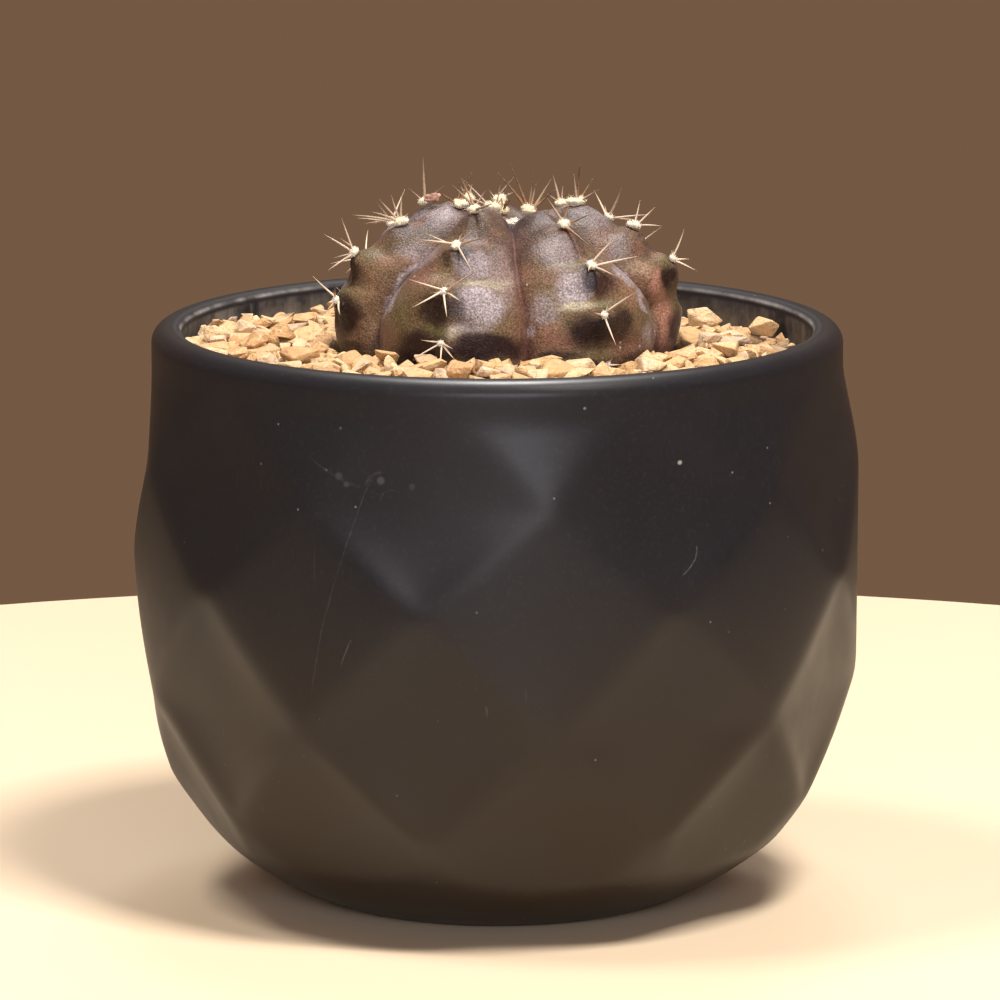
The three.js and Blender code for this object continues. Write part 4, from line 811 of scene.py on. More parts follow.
def front_view(P, N):
    """Place across and above the gravel's front edge, in mm, as seen from the front, and how far the skin faces that way."""
    d = P - CAM_AT
    depth = d @ CAM_DIR
    across = 1314.0 * d[..., 0] / depth
    up = 1314.0 * (d @ CAM_UP) / depth - 21.9
    view = -d / np.linalg.norm(d, axis=-1, keepdims=True)
    return np.stack([across, up], -1), (N * view).sum(-1)


# pigment patches of the front, with painted shade in the dark and blue-black patches, painted sheen and painted ledge
# highlights
PIGMENT_SHADE_AND_SHEEN = {
    "dark_pigment_and_shade": (
        (-24.0, 15.0, 1.5, 1.9, 0, 0.92),
        (-24.5, 7.4, 2.0, 2.9, 0, 0.97),
        (-17.5, 20.8, 1.7, 1.1, 20, 0.55),
        (-24.3, 13.0, 0.6, 0.8, 0, 0.50),
        (-8.4, 16.0, 0.8, 1.3, 0, 0.60),
        (-10.3, 8.1, 1.8, 2.3, 0, 0.88),
        (-13.0, 2.4, 2.9, 2.3, 0, 0.95),
        (-2.1, 2.1, 5.6, 1.9, -3, 0.97),
        (-19.2, 2.7, 0.6, 1.3, 0, 0.50),
        (-23.0, 2.5, 1.4, 0.6, 0, 0.55),
        (-12.9, 22.7, 1.1, 0.6, 45, 0.55),
        (-6.7, 21.3, 0.6, 1.3, -35, 0.50),
        (16.7, 12.7, 1.3, 1.7, 15, 0.75),
        (14.5, 4.5, 3.5, 2.6, 0, 0.98),
        (19.4, 5.9, 1.6, 2.1, 0, 0.85),
        (10.0, 20.0, 1.6, 1.1, 30, 0.50),
        (12.7, 19.0, 0.5, 2.2, 35, 0.65),
        (7.3, 20.0, 1.1, 1.4, 0, 0.35),
        (21.6, 20.0, 0.8, 0.8, 0, 0.50),
        (23.5, 18.7, 0.6, 1.4, 20, 0.60),
        (26.9, 13.4, 1.3, 1.9, 0, 0.97),
        (28.1, 5.6, 1.2, 1.9, 0, 0.88),
        (24.6, 4.0, 0.4, 2.2, 0, 0.45),
        (9.5, 0.8, 2.9, 0.6, 0, 0.70),
        (14.3, -0.6, 1.9, 0.5, 0, 0.70),
        (-12.1, 15.9, 1.0, 1.0, 0, 0.30),
        (22.2, 1.1, 2.2, 0.8, 0, 0.40)),
    "blue_pigment_and_shade": (
        (-5.6, 16.8, 1.3, 1.1, 0, 0.80),
        (-7.1, 8.6, 1.0, 1.9, 0, 0.75),
        (14.4, 13.8, 1.3, 1.9, 0, 0.95),
        (-15.4, 21.6, 1.0, 0.6, 0, 0.40),
        (9.5, 19.7, 0.8, 0.6, 0, 0.40),
        (22.2, 20.2, 0.5, 0.5, 0, 0.50),
        (16.8, 6.3, 0.8, 1.0, 0, 0.60),
        (-8.3, 2.1, 0.8, 0.8, 0, 0.50)),
    "green": (
        (-20.9, 17.6, 1.6, 1.3, 0, 0.80),
        (-24.6, 11.1, 1.0, 1.1, 0, 0.90),
        (-21.3, 8.6, 2.4, 3.8, 0, 0.60),
        (-10.6, 5.1, 2.1, 0.8, 0, 0.90),
        (16.7, 9.7, 1.1, 1.3, 0, 0.90),
        (12.7, 16.3, 1.7, 0.5, 0, 0.70),
        (25.7, 16.0, 1.3, 1.0, 0, 0.90),
        (28.2, 8.9, 0.8, 0.8, 0, 0.70),
        (20.9, 21.3, 1.0, 0.6, 0, 0.60),
        (14.6, 0.8, 2.6, 0.7, 0, 0.28),
        (-8.9, 14.8, 1.1, 0.6, 0, 0.50),
        (6.8, 10.5, 1.4, 1.4, 0, 0.40),
        (24.3, 7.9, 0.8, 1.4, 0, 0.50),
        (-15.7, 7.1, 2.1, 1.7, 0, 0.45),
        (-16.7, 19.4, 1.4, 1.3, 0, 0.35)),
    "red": (
        (24.9, 11.7, 1.4, 3.0, 0, 0.85),
        (26.3, 4.0, 1.7, 3.2, 0, 0.95),
        (20.9, 2.5, 2.5, 1.9, 0, 0.60),
        (21.6, 17.5, 1.3, 1.3, 0, 0.50),
        (9.5, 2.9, 3.2, 1.3, 0, 0.55),
        (-12.7, 14.0, 2.1, 2.1, 45, 0.60),
        (3.3, 19.7, 1.9, 2.1, 0, 0.60),
        (-4.0, 2.2, 4.1, 1.4, 0, 0.50),
        (-22.7, 5.9, 1.1, 2.1, 0, 0.35),
        (-12.9, 2.5, 2.4, 1.9, 0, 0.40),
        (-7.1, 21.6, 0.6, 1.3, -35, 0.50),
        (16.8, 12.4, 1.6, 1.9, 0, 0.50),
        (-12.7, 22.2, 1.3, 0.6, 45, 0.50)),
    "tan": (
        (24.8, 12.4, 1.1, 2.5, 0, 0.90),
        (22.4, 14.9, 1.7, 1.3, -20, 0.60),
        (25.6, 7.6, 1.2, 3.4, 0, 0.75),
        (-18.3, 15.9, 1.3, 1.1, 0, 0.30),
        (-23.5, 4.3, 1.0, 1.0, 0, 0.30),
        (0.8, 15.9, 0.8, 4.0, 0, 0.30),
        (7.9, 5.1, 1.6, 1.4, 0, 0.30),
        (-20.8, 9.0, 2.6, 5.0, 0, 0.22),
        (-18.5, 4.5, 1.6, 2.5, 0, 0.22),
        (9.5, 3.0, 2.6, 1.3, 0, 0.24),
        (21.0, 12.5, 1.6, 3.0, 0, 0.30),
        (-20.5, 12.2, 1.0, 1.6, 0, 0.35)),
    "painted_sheen": (
        (-13.5, 14.9, 1.7, 0.4, 49, 0.85),
        (-15.7, 12.4, 1.7, 0.4, 52, 0.90),
        (-17.6, 9.4, 2.1, 0.4, 62, 0.90),
        (-9.7, 23.6, 2.7, 1.7, 0, 0.80),
        (-13.2, 17.5, 2.5, 1.4, 0, 0.60),
        (-15.4, 21.3, 1.3, 1.0, 0, 0.45),
        (-4.1, 15.2, 2.5, 1.6, 0, 0.85),
        (-3.2, 8.9, 3.2, 2.4, 0, 1.00),
        (-4.8, 5.2, 2.9, 0.8, 0, 0.60),
        (11.9, 12.1, 2.5, 2.1, 0, 1.00),
        (8.9, 17.9, 2.7, 1.6, 0, 0.60),
        (7.1, 8.4, 2.1, 1.9, 0, 0.50),
        (14.6, 23.5, 2.9, 1.7, 0, 0.75),
        (19.7, 13.5, 1.7, 0.6, -45, 0.80),
        (22.7, 9.7, 1.9, 0.3, -60, 0.80),
        (18.4, 18.3, 1.9, 1.9, 0, 0.50),
        (23.5, 4.6, 0.6, 1.4, 0, 0.45),
        (4.9, 4.8, 0.6, 1.1, 0, 0.80),
        (-4.0, 20.0, 1.4, 1.3, 0, 0.45),
        (7.3, 23.0, 1.4, 1.0, 0, 0.50),
        (0.0, 13.0, 1.9, 4.8, 0, 0.35)),
    "painted_ledge_highlight": (
        (-2.1, 12.5, 3.5, 0.5, 3, 0.70),
        (12.7, 9.2, 2.7, 0.7, 4, 0.85),
        (-7.6, 4.6, 1.1, 0.7, 0, 0.70),
        (10.6, 16.0, 2.4, 0.4, 4, 0.40),
        (-9.7, 13.6, 1.4, 0.4, 0, 0.40),
        (21.7, 15.2, 1.9, 1.3, 0, 0.40)),
}


def build_stem():
    t = np.concatenate([np.linspace(0.18, 8.0, 64)[:-1], np.linspace(8.0, 13.4, 76)[:-1], np.linspace(13.4, 15.6, 10)[:-1], np.linspace(15.6, 21, 9)])
    A = stem_columns(31, t)
    NC = A.shape[1]
    T = np.repeat(t[:, None], NC, 1)
    P, sp, s = stem_point(A, T)
    N = grid_normals(P)
    base = P.copy()
    # every areole sits on the outer corner of a step, with a crease across the rib above it
    u = np.abs(sp)
    notch = np.zeros(A.shape)
    disp = np.zeros(A.shape)
    paint = {k: np.zeros(A.shape) for k in ("dark_pigment_and_shade", "blue_pigment_and_shade", "green", "red", "painted_sheen", "painted_ledge_highlight", "tan")}
    seen, facing = front_view(base, N)
    front = smoothstep(0.0, 0.22, facing)
    warp = np.stack([fbm(base / 4.2 + 3, 3, 61), fbm(base / 4.2 + 9, 3, 62)], -1)
    fine = fbm(base / 1.5, 3, 63)
    rng = np.random.default_rng(905)
    for name, p, n, _ in AREOLES:
        p, n = np.array(p), unit(n)
        down = np.array([0, 0, -1.0]) + n * n[2]
        if np.linalg.norm(down) < 0.35:
            out = unit([p[0] - STEM_X, p[1] - STEM_Y, 0])
            down = out - n * out.dot(n)
        down = unit(down)
        side = np.cross(n, down)
        rel = base - p
        al, si, no = rel @ down, rel @ side, rel @ n
        near = np.exp(-(no / 6.0) ** 2)
        level = max(int(name[-1]), 1)
        x = al + NOTCH_UP
        notch = np.maximum(notch, NOTCH[level] * near * np.exp(-(x / np.where(x < 0, 2.6, 1.2)) ** 2 - (si / 5.0) ** 2))
        disp += SWELL.get(name, 0.0) * near * np.exp(-((al - 0.6) / 2.4) ** 2 - (si / 3.6) ** 2)
        big = {1: 0.8, 2: 1.0, 3: 0.85, 4: 0.5, 5: 0.1}[level]
        # the corner itself swells a little round the wool, which lies in a small pit
        disp += near * big * 0.38 * np.exp(-((al - 1.0) / 1.3) ** 2 - (si / 2.6) ** 2)
        disp -= near * 0.34 * np.exp(-(al / 1.0) ** 2 - (si / 1.2) ** 2)
        # flutes that run down from the wool
        disp -= near * big * 0.20 * np.exp(-((al - 2.4) / 1.8) ** 2) * np.exp(-((np.abs(si) - 1.7) / 0.55) ** 2)
        # pigment, painted shade, painted sheen and painted highlights on the sides that the drawing below does not give
        dim = near * (1 - front) if name[:5] in ("front", "left_", "right") else near
        wa = al + warp[..., 0] * 1.5
        ws = si + warp[..., 1] * 1.8

        def spot(kind, ca, cs, ra, rs, gain):
            e = ((wa - ca) / ra) ** 2 + ((ws - cs) / rs) ** 2
            paint[kind] = np.maximum(paint[kind], dim * gain * smoothstep(0, 1, np.exp(-0.62 * e ** 1.15) * (1.12 + fine * 0.35)))

        k = {1: 1.0, 2: 1.0, 3: 0.85, 4: 0.55, 5: 0.25}[level]
        j = rng.uniform(-0.5, 0.5, 6)
        # dark and blue-black patches below each areole: pigment with painted shade under its ledge
        spot("dark_pigment_and_shade", 3.0 + j[0], 3.4 + j[1], 1.9, 2.7, 0.97 * k)
        spot("dark_pigment_and_shade", 2.8 + j[2], -3.3 + j[3], 1.8, 2.4, 0.93 * k)
        spot("blue_pigment_and_shade", 1.7, 0.7 + j[4], 1.4, 1.2, 0.8 * k)
        spot("green", -1.0, j[5], 1.1, 2.2, 0.9 * k)
        # painted highlight on the ledge top either side of the areole
        spot("painted_ledge_highlight", -2.6, 3.6, 0.7, 2.4, 0.55 * k)
        spot("painted_ledge_highlight", -2.6, -3.6, 0.7, 2.2, 0.5 * k)
        # painted sheen on the flanks either side of each areole
        spot("painted_sheen", 0.3, 5.0, 2.6, 2.3, 0.88)
        spot("painted_sheen", 0.1, -5.0, 2.5, 2.2, 0.82)
        spot("red", 4.4, 0.0, 1.2, 4.0, 0.5)
    fade = 1 - u ** 3
    disp = disp * smoothstep(0, 1, np.clip((1 - u) / 0.35, 0, 1)) - notch * fade
    # slow swellings and a skin that is never quite even
    disp += fbm(base / 7.0, 2, 3) * 0.22 + fbm(base / 2.0, 3, 9) * 0.085
    k = smoothstep(12.9, 12.0, T) * smoothstep(2.0, 3.2, T)
    disp = disp * k + (fbm(base / 7.0, 2, 3) * 0.2) * (1 - k) * smoothstep(15.2, 13.5, T)
    P = P + N * disp[..., None]
    # pigment, painted shade, painted sheen and painted highlights of the front, drawn as seen from the front: (across,
    # up, half width, half height, turn, gain)
    seen = seen + warp * 1.25
    for kind, spots in PIGMENT_SHADE_AND_SHEEN.items():
        for x, y, rx, ry, turn, gain in spots:
            c, q = math.cos(math.radians(turn)), math.sin(math.radians(turn))
            dx, dy = seen[..., 0] - x, seen[..., 1] - y
            e = ((dx * c + dy * q) / rx) ** 2 + ((dy * c - dx * q) / ry) ** 2
            paint[kind] = np.maximum(paint[kind], front * gain * smoothstep(0, 1, np.exp(-0.55 * e ** 1.35) * (1.2 + fine * 0.35)))
    # groove mask for the dark red crease colour, strongest in the groove that faces the front: partly painted shade
    ahead = bell(A, 3, 22)
    groove = np.exp(-((1 - u) / 0.05) ** 2) * smoothstep(1.6, 4.0, T) * (0.30 + 0.45 * ahead) * (1 - 0.75 * np.maximum(paint["painted_sheen"], paint["painted_ledge_highlight"]))
    paint["red"] = np.maximum(paint["red"], np.exp(-((1 - u) / 0.2) ** 2) * (0.2 + 0.4 * ahead))
    # a faint painted sheen round the crown, and the skin darker towards the crown, a little more on the front
    paint["painted_sheen"] = np.maximum(paint["painted_sheen"], np.exp(-((T - 3.4) / 2.0) ** 2) * np.clip(0.5 + warp[..., 0] * 1.2, 0, 1) * 0.2)
    dusk = smoothstep(8.8, 4.8, T) * (0.52 + 0.40 * np.clip(warp[..., 1] + fine * 0.5, -1, 1))
    dusk = dusk + 0.12 * front * smoothstep(8.8, 5.5, T) * bell(A, 8, 26)
    paint["dark_pigment_and_shade"] = np.maximum(paint["dark_pigment_and_shade"], dusk)
    paint["tan"] = np.maximum(paint["tan"], smoothstep(9.5, 5.5, T) * np.clip(0.12 - warp[..., 0] * 1.1, 0, 0.34))
    verts = [(STEM_X, STEM_Y, 106.62)] + P.reshape(-1, 3).tolist() + [(STEM_X, STEM_Y, 63.9)]
    nr = len(t)
    faces = grid_faces(nr, NC, True, False, 1)[:, ::-1].tolist()
    faces += [(0, 1 + (j + 0) % NC, 1 + (j + 1) % NC) for j in range(NC)]
    last = 1 + (nr - 1) * NC
    faces += [(last + (j + 1) % NC, last + j, 1 + nr * NC) for j in range(NC)]

    def pad(a, lo=0.0, hi=0.0):
        return np.concatenate([[lo], a.ravel(), [hi]])

    ob = mesh_object("ribbed_stem", verts, faces, [SKIN], colors={
        "groove": pad(groove), **{k: pad(v) for k, v in paint.items()}})
    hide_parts("cactus_stem")
    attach(ob, "root")
    return P


STEM_P = build_stem()


# ------------------------------------------------------------------ areoles
def frame_of(d):
    d = unit(d)
    a = np.array([0, 0, 1.0]) if abs(d[2]) < 0.9 else np.array([1.0, 0, 0])
    x = unit(np.cross(a, d))
    return x, np.cross(d, x), d


def tube(path, radii, sides, cap=True):
    """Closed tube of given radii along a path; returns points, faces and the place along it."""
    path = np.asarray(path, float)
    n = len(path)
    tang = np.gradient(path, axis=0)
    x, y, _ = frame_of(tang[0])
    pts, along = [], []
    for i in range(n):
        d = unit(tang[i])
        x = unit(x - d * x.dot(d))
        y = np.cross(d, x)
        for k in range(sides):
            a = 2 * math.pi * k / sides
            pts.append(path[i] + (x * math.cos(a) + y * math.sin(a)) * radii[i])
            along.append(i / (n - 1))
    faces = []
    for i in range(n - 1):
        for k in range(sides):
            k2 = (k + 1) % sides
            faces.append((i * sides + k, i * sides + k2, (i + 1) * sides + k2, (i + 1) * sides + k))
    if cap:
        faces.append(tuple(reversed(range(sides))))
        faces.append(tuple((n - 1) * sides + k for k in range(sides)))
    return pts, faces, along


class Build:
    def __init__(self):
        self.v, self.f, self.m, self.along, self.tone, self.age = [], [], [], [], [], []

    def add(self, pts, faces, mat, along=None, tone=0.0, age=0.5):
        o = len(self.v)
        self.v += [tuple(p) for p in pts]
        self.f += [tuple(i + o for i in f) for f in faces]
        self.m += [mat] * len(faces)
        self.along += list(along) if along is not None else [0.0] * len(pts)
        self.tone += [tone] * len(pts)
        self.age += [age] * len(pts)


def wool_core(b, centre, n, rx, h, rng, age, seed):
    x, y, z = frame_of(n)
    rows, cols = 9, 16
    pts = [centre + z * h * 1.0]
    for i in range(1, rows):
        th = math.pi * i / rows
        for k in range(cols):
            a = 2 * math.pi * k / cols
            d = x * math.cos(a) * math.sin(th) + y * math.sin(a) * math.sin(th) + z * math.cos(th)
            q = x * math.cos(a) * math.sin(th) * rx + y * math.sin(a) * math.sin(th) * rx + z * math.cos(th) * h
            w = 1 + 0.26 * float(fbm(d * 2.1 + seed * 3.7, 2, seed))
            pts.append(centre + q * w)
    pts.append(centre - z * h)
    faces = [(0, 1 + k, 1 + (k + 1) % cols) for k in range(cols)]
    for i in range(rows - 2):
        for k in range(cols):
            k2 = (k + 1) % cols
            faces.append((1 + i * cols + k, 1 + (i + 1) * cols + k, 1 + (i + 1) * cols + k2, 1 + i * cols + k2))
    last = 1 + (rows - 2) * cols
    faces += [(last + (k + 1) % cols, last + k, 1 + (rows - 1) * cols) for k in range(cols)]
    b.add(pts, faces, 1, age=age)


def wool_fibres(b, centre, n, rx, h, count, length, rng, age):
    x, y, z = frame_of(n)
    for _ in range(count):
        a = rng.uniform(0, 2 * math.pi)
        u = rng.uniform(0.0, 1.0)
        th = math.acos(1 - u * 1.15) if u * 1.15 < 1 else math.pi / 2 + (u * 1.15 - 1)
        d = x * math.cos(a) * math.sin(th) + y * math.sin(a) * math.sin(th) + z * math.cos(th)
        start = centre + (x * math.cos(a) * math.sin(th) * rx + y * math.sin(a) * math.sin(th) * rx + z * math.cos(th) * h) * 0.82
        e = rng.normal(0, 0.5, 3)
        end = start + unit(d + e) * length * rng.uniform(0.5, 1.15)
        mid = (start + end) / 2 + rng.normal(0, 0.16, 3) * length
        r = rng.uniform(0.028, 0.045)
        s = np.linspace(0, 1, 4)[:, None]
        path = (1 - s) ** 2 * start + 2 * s * (1 - s) * mid + s ** 2 * end
        pts, faces, along = tube(path, [r, r, r * 0.8, r * 0.35], 3)
        b.add(pts, faces, 1, along, 0, age)


def spine(b, start, tip, rng, base_r, tone, bend):
    d = tip - start
    L = np.linalg.norm(d)
    mid = (start + tip) / 2 + bend * L
    n = 11
    s = np.linspace(0, 1, n)[:, None]
    path = (1 - s) ** 2 * start + 2 * s * (1 - s) * mid + s ** 2 * tip
    f = s[:, 0]
    rad = base_r * (1.0 - 0.25 * f - 0.66 * f ** 2.2)
    rad *= 1 + 0.22 * np.exp(-(f / 0.05) ** 2)
    rad = np.maximum(rad, 0.035)
    pts, faces, along = tube(path, rad, 8)
    b.add(pts, faces, 0, along, tone)


# further lumps of wool on some cushions: offset, radius, height, age
EXTRA_WOOL = {
    "back_4": ((-0.35, -0.1, 0.30, 0.80, 0.95, 0.0), (0.40, 0.1, 0.45, 0.70, 0.95, 0.0)),
    "right_4": ((-0.9, 0.1, 0.05, 0.85, 0.6, 0.1), (0.7, 0.1, 0.15, 0.8, 0.6, 0.0)),
    "left_5": ((0.75, -0.1, 0.1, 0.8, 0.62, 0.3),),
    "back_left_4": ((0.95, -0.4, 0.05, 0.8, 0.45, 0.7),),
    "front_right_5": ((-0.5, 0.2, 0.35, 0.75, 0.7, 0.0), (0.35, 0.1, -0.35, 0.8, 0.7, 0.1)),
    "left_4": ((0.7, 0.0, 0.0, 0.75, 0.55, 0.5), (-1.4, 0.1, -0.3, 0.6, 0.4, 0.6)),
    "right_3": ((-0.75, 0.0, 0.1, 0.7, 0.5, 0.6),),
}


def build_areoles():
    for num, (name, p, n, tips) in enumerate(AREOLES):
        rng = np.random.default_rng(4100 + num)
        p, n = np.array(p), unit(n)
        level = max(int(name[-1]), 1)
        c = p + n * {1: 0.35, 2: 0.42, 3: 0.55, 4: 0.65, 5: 0.7}[level]
        b = Build()
        age = {1: 0.95, 2: 0.8, 3: 0.6, 4: 0.3, 5: 0.05}[level]
        rx = {1: 0.50, 2: 0.62, 3: 0.86, 4: 0.98, 5: 1.0}[level]
        h = {1: 0.42, 2: 0.50, 3: 0.60, 4: 0.66, 5: 0.72}[level]
        if name == "back_5":
            rx, h = 0.6, 0.45
        wool_core(b, c, n, rx, h, rng, age, num + 5)
        wool_fibres(b, c, n, rx, h, {1: 60, 2: 80, 3: 110, 4: 130, 5: 140}[level], {1: 0.34, 2: 0.38, 3: 0.42, 4: 0.46, 5: 0.5}[level], rng, age)
        centre = p + n * 1.2
        for k, t in enumerate(tips):
            t = np.array(t, float)
            L = np.linalg.norm(t)
            start = c + unit(t) * 0.35 + rng.normal(0, 0.13, 3)
            start = start - n * 0.15
            # young spines near the crown are brown, old low ones bone pale
            tone = {1: 0.0, 2: 0.10, 3: 0.42, 4: 0.78, 5: 0.92}[level] + rng.uniform(-0.28, 0.25)
            base_r = (0.125 + 0.008 * L + rng.uniform(-0.015, 0.02)) * {3: 1.12, 4: 1.32, 5: 1.38}.get(level, 1.06)
            bend = unit(n) * rng.uniform(0.02, 0.075) + rng.normal(0, 0.015, 3)
            spine(b, start, centre + t, rng, base_r, float(np.clip(tone, 0, 1)), bend)
        # two or three short radials close to the wool
        for dx, dy, dz, r2, h2, a2 in EXTRA_WOOL.get(name, ()):
            e = c + np.array([dx, dy, dz])
            wool_core(b, e, n, r2, h2, rng, a2, num + 50)
            wool_fibres(b, e, n, r2, h2, 70, 0.45, rng, a2)
        if 2 <= level <= 4:
            x, y, z = frame_of(n)
            for _ in range(2):
                a = rng.uniform(0, 2 * math.pi)
                d = unit((x * math.cos(a) + y * math.sin(a)) + z * rng.uniform(0.15, 0.6))
                spine(b, c, c + d * rng.uniform(1.5, 2.3), rng, 0.09, float(np.clip(age * 0.3 + rng.uniform(0, 0.4), 0, 1)), z * 0.04)
        ob = mesh_object("areole_" + name, b.v, b.f, [SPINE, WOOL], face_mat=b.m,
                         colors={"along": np.array(b.along), "tone": np.array(b.tone), "age": np.array(b.age)})
        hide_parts("spines_" + name)
        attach(ob, "root")


build_areoles()


def build_crown_wool():
    rng = np.random.default_rng(77)
    b = Build()
    for k, (dx, dy, dz, r, h) in enumerate(((-1.5, 0.9, 107.9, 0.55, 0.42), (-0.9, 0.3, 107.8, 0.50, 0.38), (-0.3, -0.3, 107.7, 0.55, 0.40), (0.4, -0.8, 107.7, 0.50, 0.36), (1.1, 0.9, 107.8, 0.5, 0.36), (0.5, 0.3, 107.7, 0.5, 0.36))):
        c = np.array([STEM_X - 0.2 + dx, STEM_Y + 0.2 + dy, dz])
        wool_core(b, c, np.array([0.0, 0, 1]), r, h, rng, 0.9, 50 + k)
        wool_fibres(b, c, np.array([0.0, 0, 1]), r, h, 60, 0.5, rng, 0.9)
    ob = mesh_object("crown_tuft", b.v, b.f, [SPINE, WOOL], face_mat=b.m,
                     colors={"along": np.array(b.along), "tone": np.array(b.tone), "age": np.array(b.age)})
    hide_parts("crown_wool")
    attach(ob, "root")


build_crown_wool()


def build_bud():
    """A withered bud: a lumpy pod with folded, curled scales."""
    c = np.array([-10.4, 6.5, 110.75])
    b_v, b_f = [], []
    rows, cols = 18, 32
    for i in range(rows):
        th = math.pi * (i + 0.5) / rows
        for k in range(cols):
            a = 2 * math.pi * k / cols
            d = np.array([math.cos(a) * math.sin(th), math.sin(a) * math.sin(th), math.cos(th)])
            w = 1 + 0.13 * math.sin(a * 7 + 2.2 * th) * math.sin(th) + 0.5 * float(fbm(d * 2.3 + 3, 3, 8))
            b_v.append(c + d * np.array([1.15, 0.85, 0.80]) * w + np.array([0.25, 0, 0]) * d[2])
    b_f += grid_faces(rows, cols)[:, ::-1].tolist()
    top = len(b_v)
    b_v.append(c + np.array([0.25, 0, 0.78]))
    b_v.append(c - np.array([0.25, 0, 0.78]))
    b_f += [(top, k, (k + 1) % cols) for k in range(cols)]
    o = (rows - 1) * cols
    b_f += [(top + 1, o + (k + 1) % cols, o + k) for k in range(cols)]
    ob = mesh_object("withered_bud", b_v, b_f, [BUD])
    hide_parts("dried_bud")
    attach(ob, "root")


build_bud()


# ------------------------------------------------------------------ stone chips
def chip_shapes(count, seed):
    """Angular stone shapes in a unit box, with softly broken edges: points, triangles and outward planes."""
    rng = np.random.default_rng(seed)
    shapes = []
    for _ in range(count):
        n = int(rng.integers(9, 15))
        d = rng.normal(0, 1, (n, 3))
        d /= np.linalg.norm(d, axis=1)[:, None]
        d = np.sign(d) * np.abs(d) ** 0.75
        pts = d * rng.uniform(0.80, 1.0, (n, 1)) * 0.5
        bm = bmesh.new()
        for q in pts:
            bm.verts.new(q)
        r = bmesh.ops.convex_hull(bm, input=bm.verts)
        for g in ("geom_interior", "geom_unused"):
            for e in r[g]:
                if isinstance(e, bmesh.types.BMVert) and e.is_valid:
                    bm.verts.remove(e)
        bmesh.ops.dissolve_limit(bm, angle_limit=math.radians(13), verts=bm.verts, edges=bm.edges)
        planes = [(np.array(f.normal), float(np.dot(f.normal, f.verts[0].co))) for f in bm.faces]
        bmesh.ops.bevel(bm, geom=list(bm.edges), offset=0.052, offset_type="OFFSET", segments=2, profile=0.6, affect="EDGES", clamp_overlap=True)
        # bevels that meet leave corners on top of each other: weld them
        bmesh.ops.remove_doubles(bm, verts=bm.verts, dist=0.0015)
        bmesh.ops.dissolve_degenerate(bm, dist=0.0005, edges=bm.edges)
        bmesh.ops.triangulate(bm, faces=bm.faces)
        bmesh.ops.recalc_face_normals(bm, faces=bm.faces)
        bm.verts.ensure_lookup_table()
        v = np.array([q.co for q in bm.verts])
        f = np.array([[q.index for q in face.verts] for face in bm.faces])
        bm.free()
        # shallow chipping of the faces
        v = v + v / np.maximum(np.linalg.norm(v, axis=1)[:, None], 1e-6) * (fbm(v * 4.2 + rng.uniform(0, 50), 2, int(rng.integers(1000))) * 0.028)[:, None]
        lo, hi = v.min(0), v.max(0)
        size = hi - lo
        mid = (lo + hi) / 2
        v = (v - mid) / size
        pl = [(nrm * size, d0 - nrm.dot(mid)) for nrm, d0 in planes]
        shapes.append((v, f, pl))
    return shapes


def rotation(tilt_x, tilt_y, turn):
    return np.array(Matrix.Rotation(turn, 3, "Z") @ Matrix.Rotation(tilt_y, 3, "Y") @ Matrix.Rotation(tilt_x, 3, "X"))


GRID = 0.4
HALF = 51.0
NG = int(2 * HALF / GRID)
gx = -HALF + (np.arange(NG) + 0.5) * GRID
GX, GY = np.meshgrid(gx, gx, indexing="ij")


def stem_radius_at(az, z):
    t = np.linspace(9.0, 15.5, 60)
    p, _, _ = stem_point(np.full(60, az), t)
    r = np.hypot(p[:, 0] - STEM_X, p[:, 1] - STEM_Y)
    return float(np.interp(-z, -p[:, 2], r))


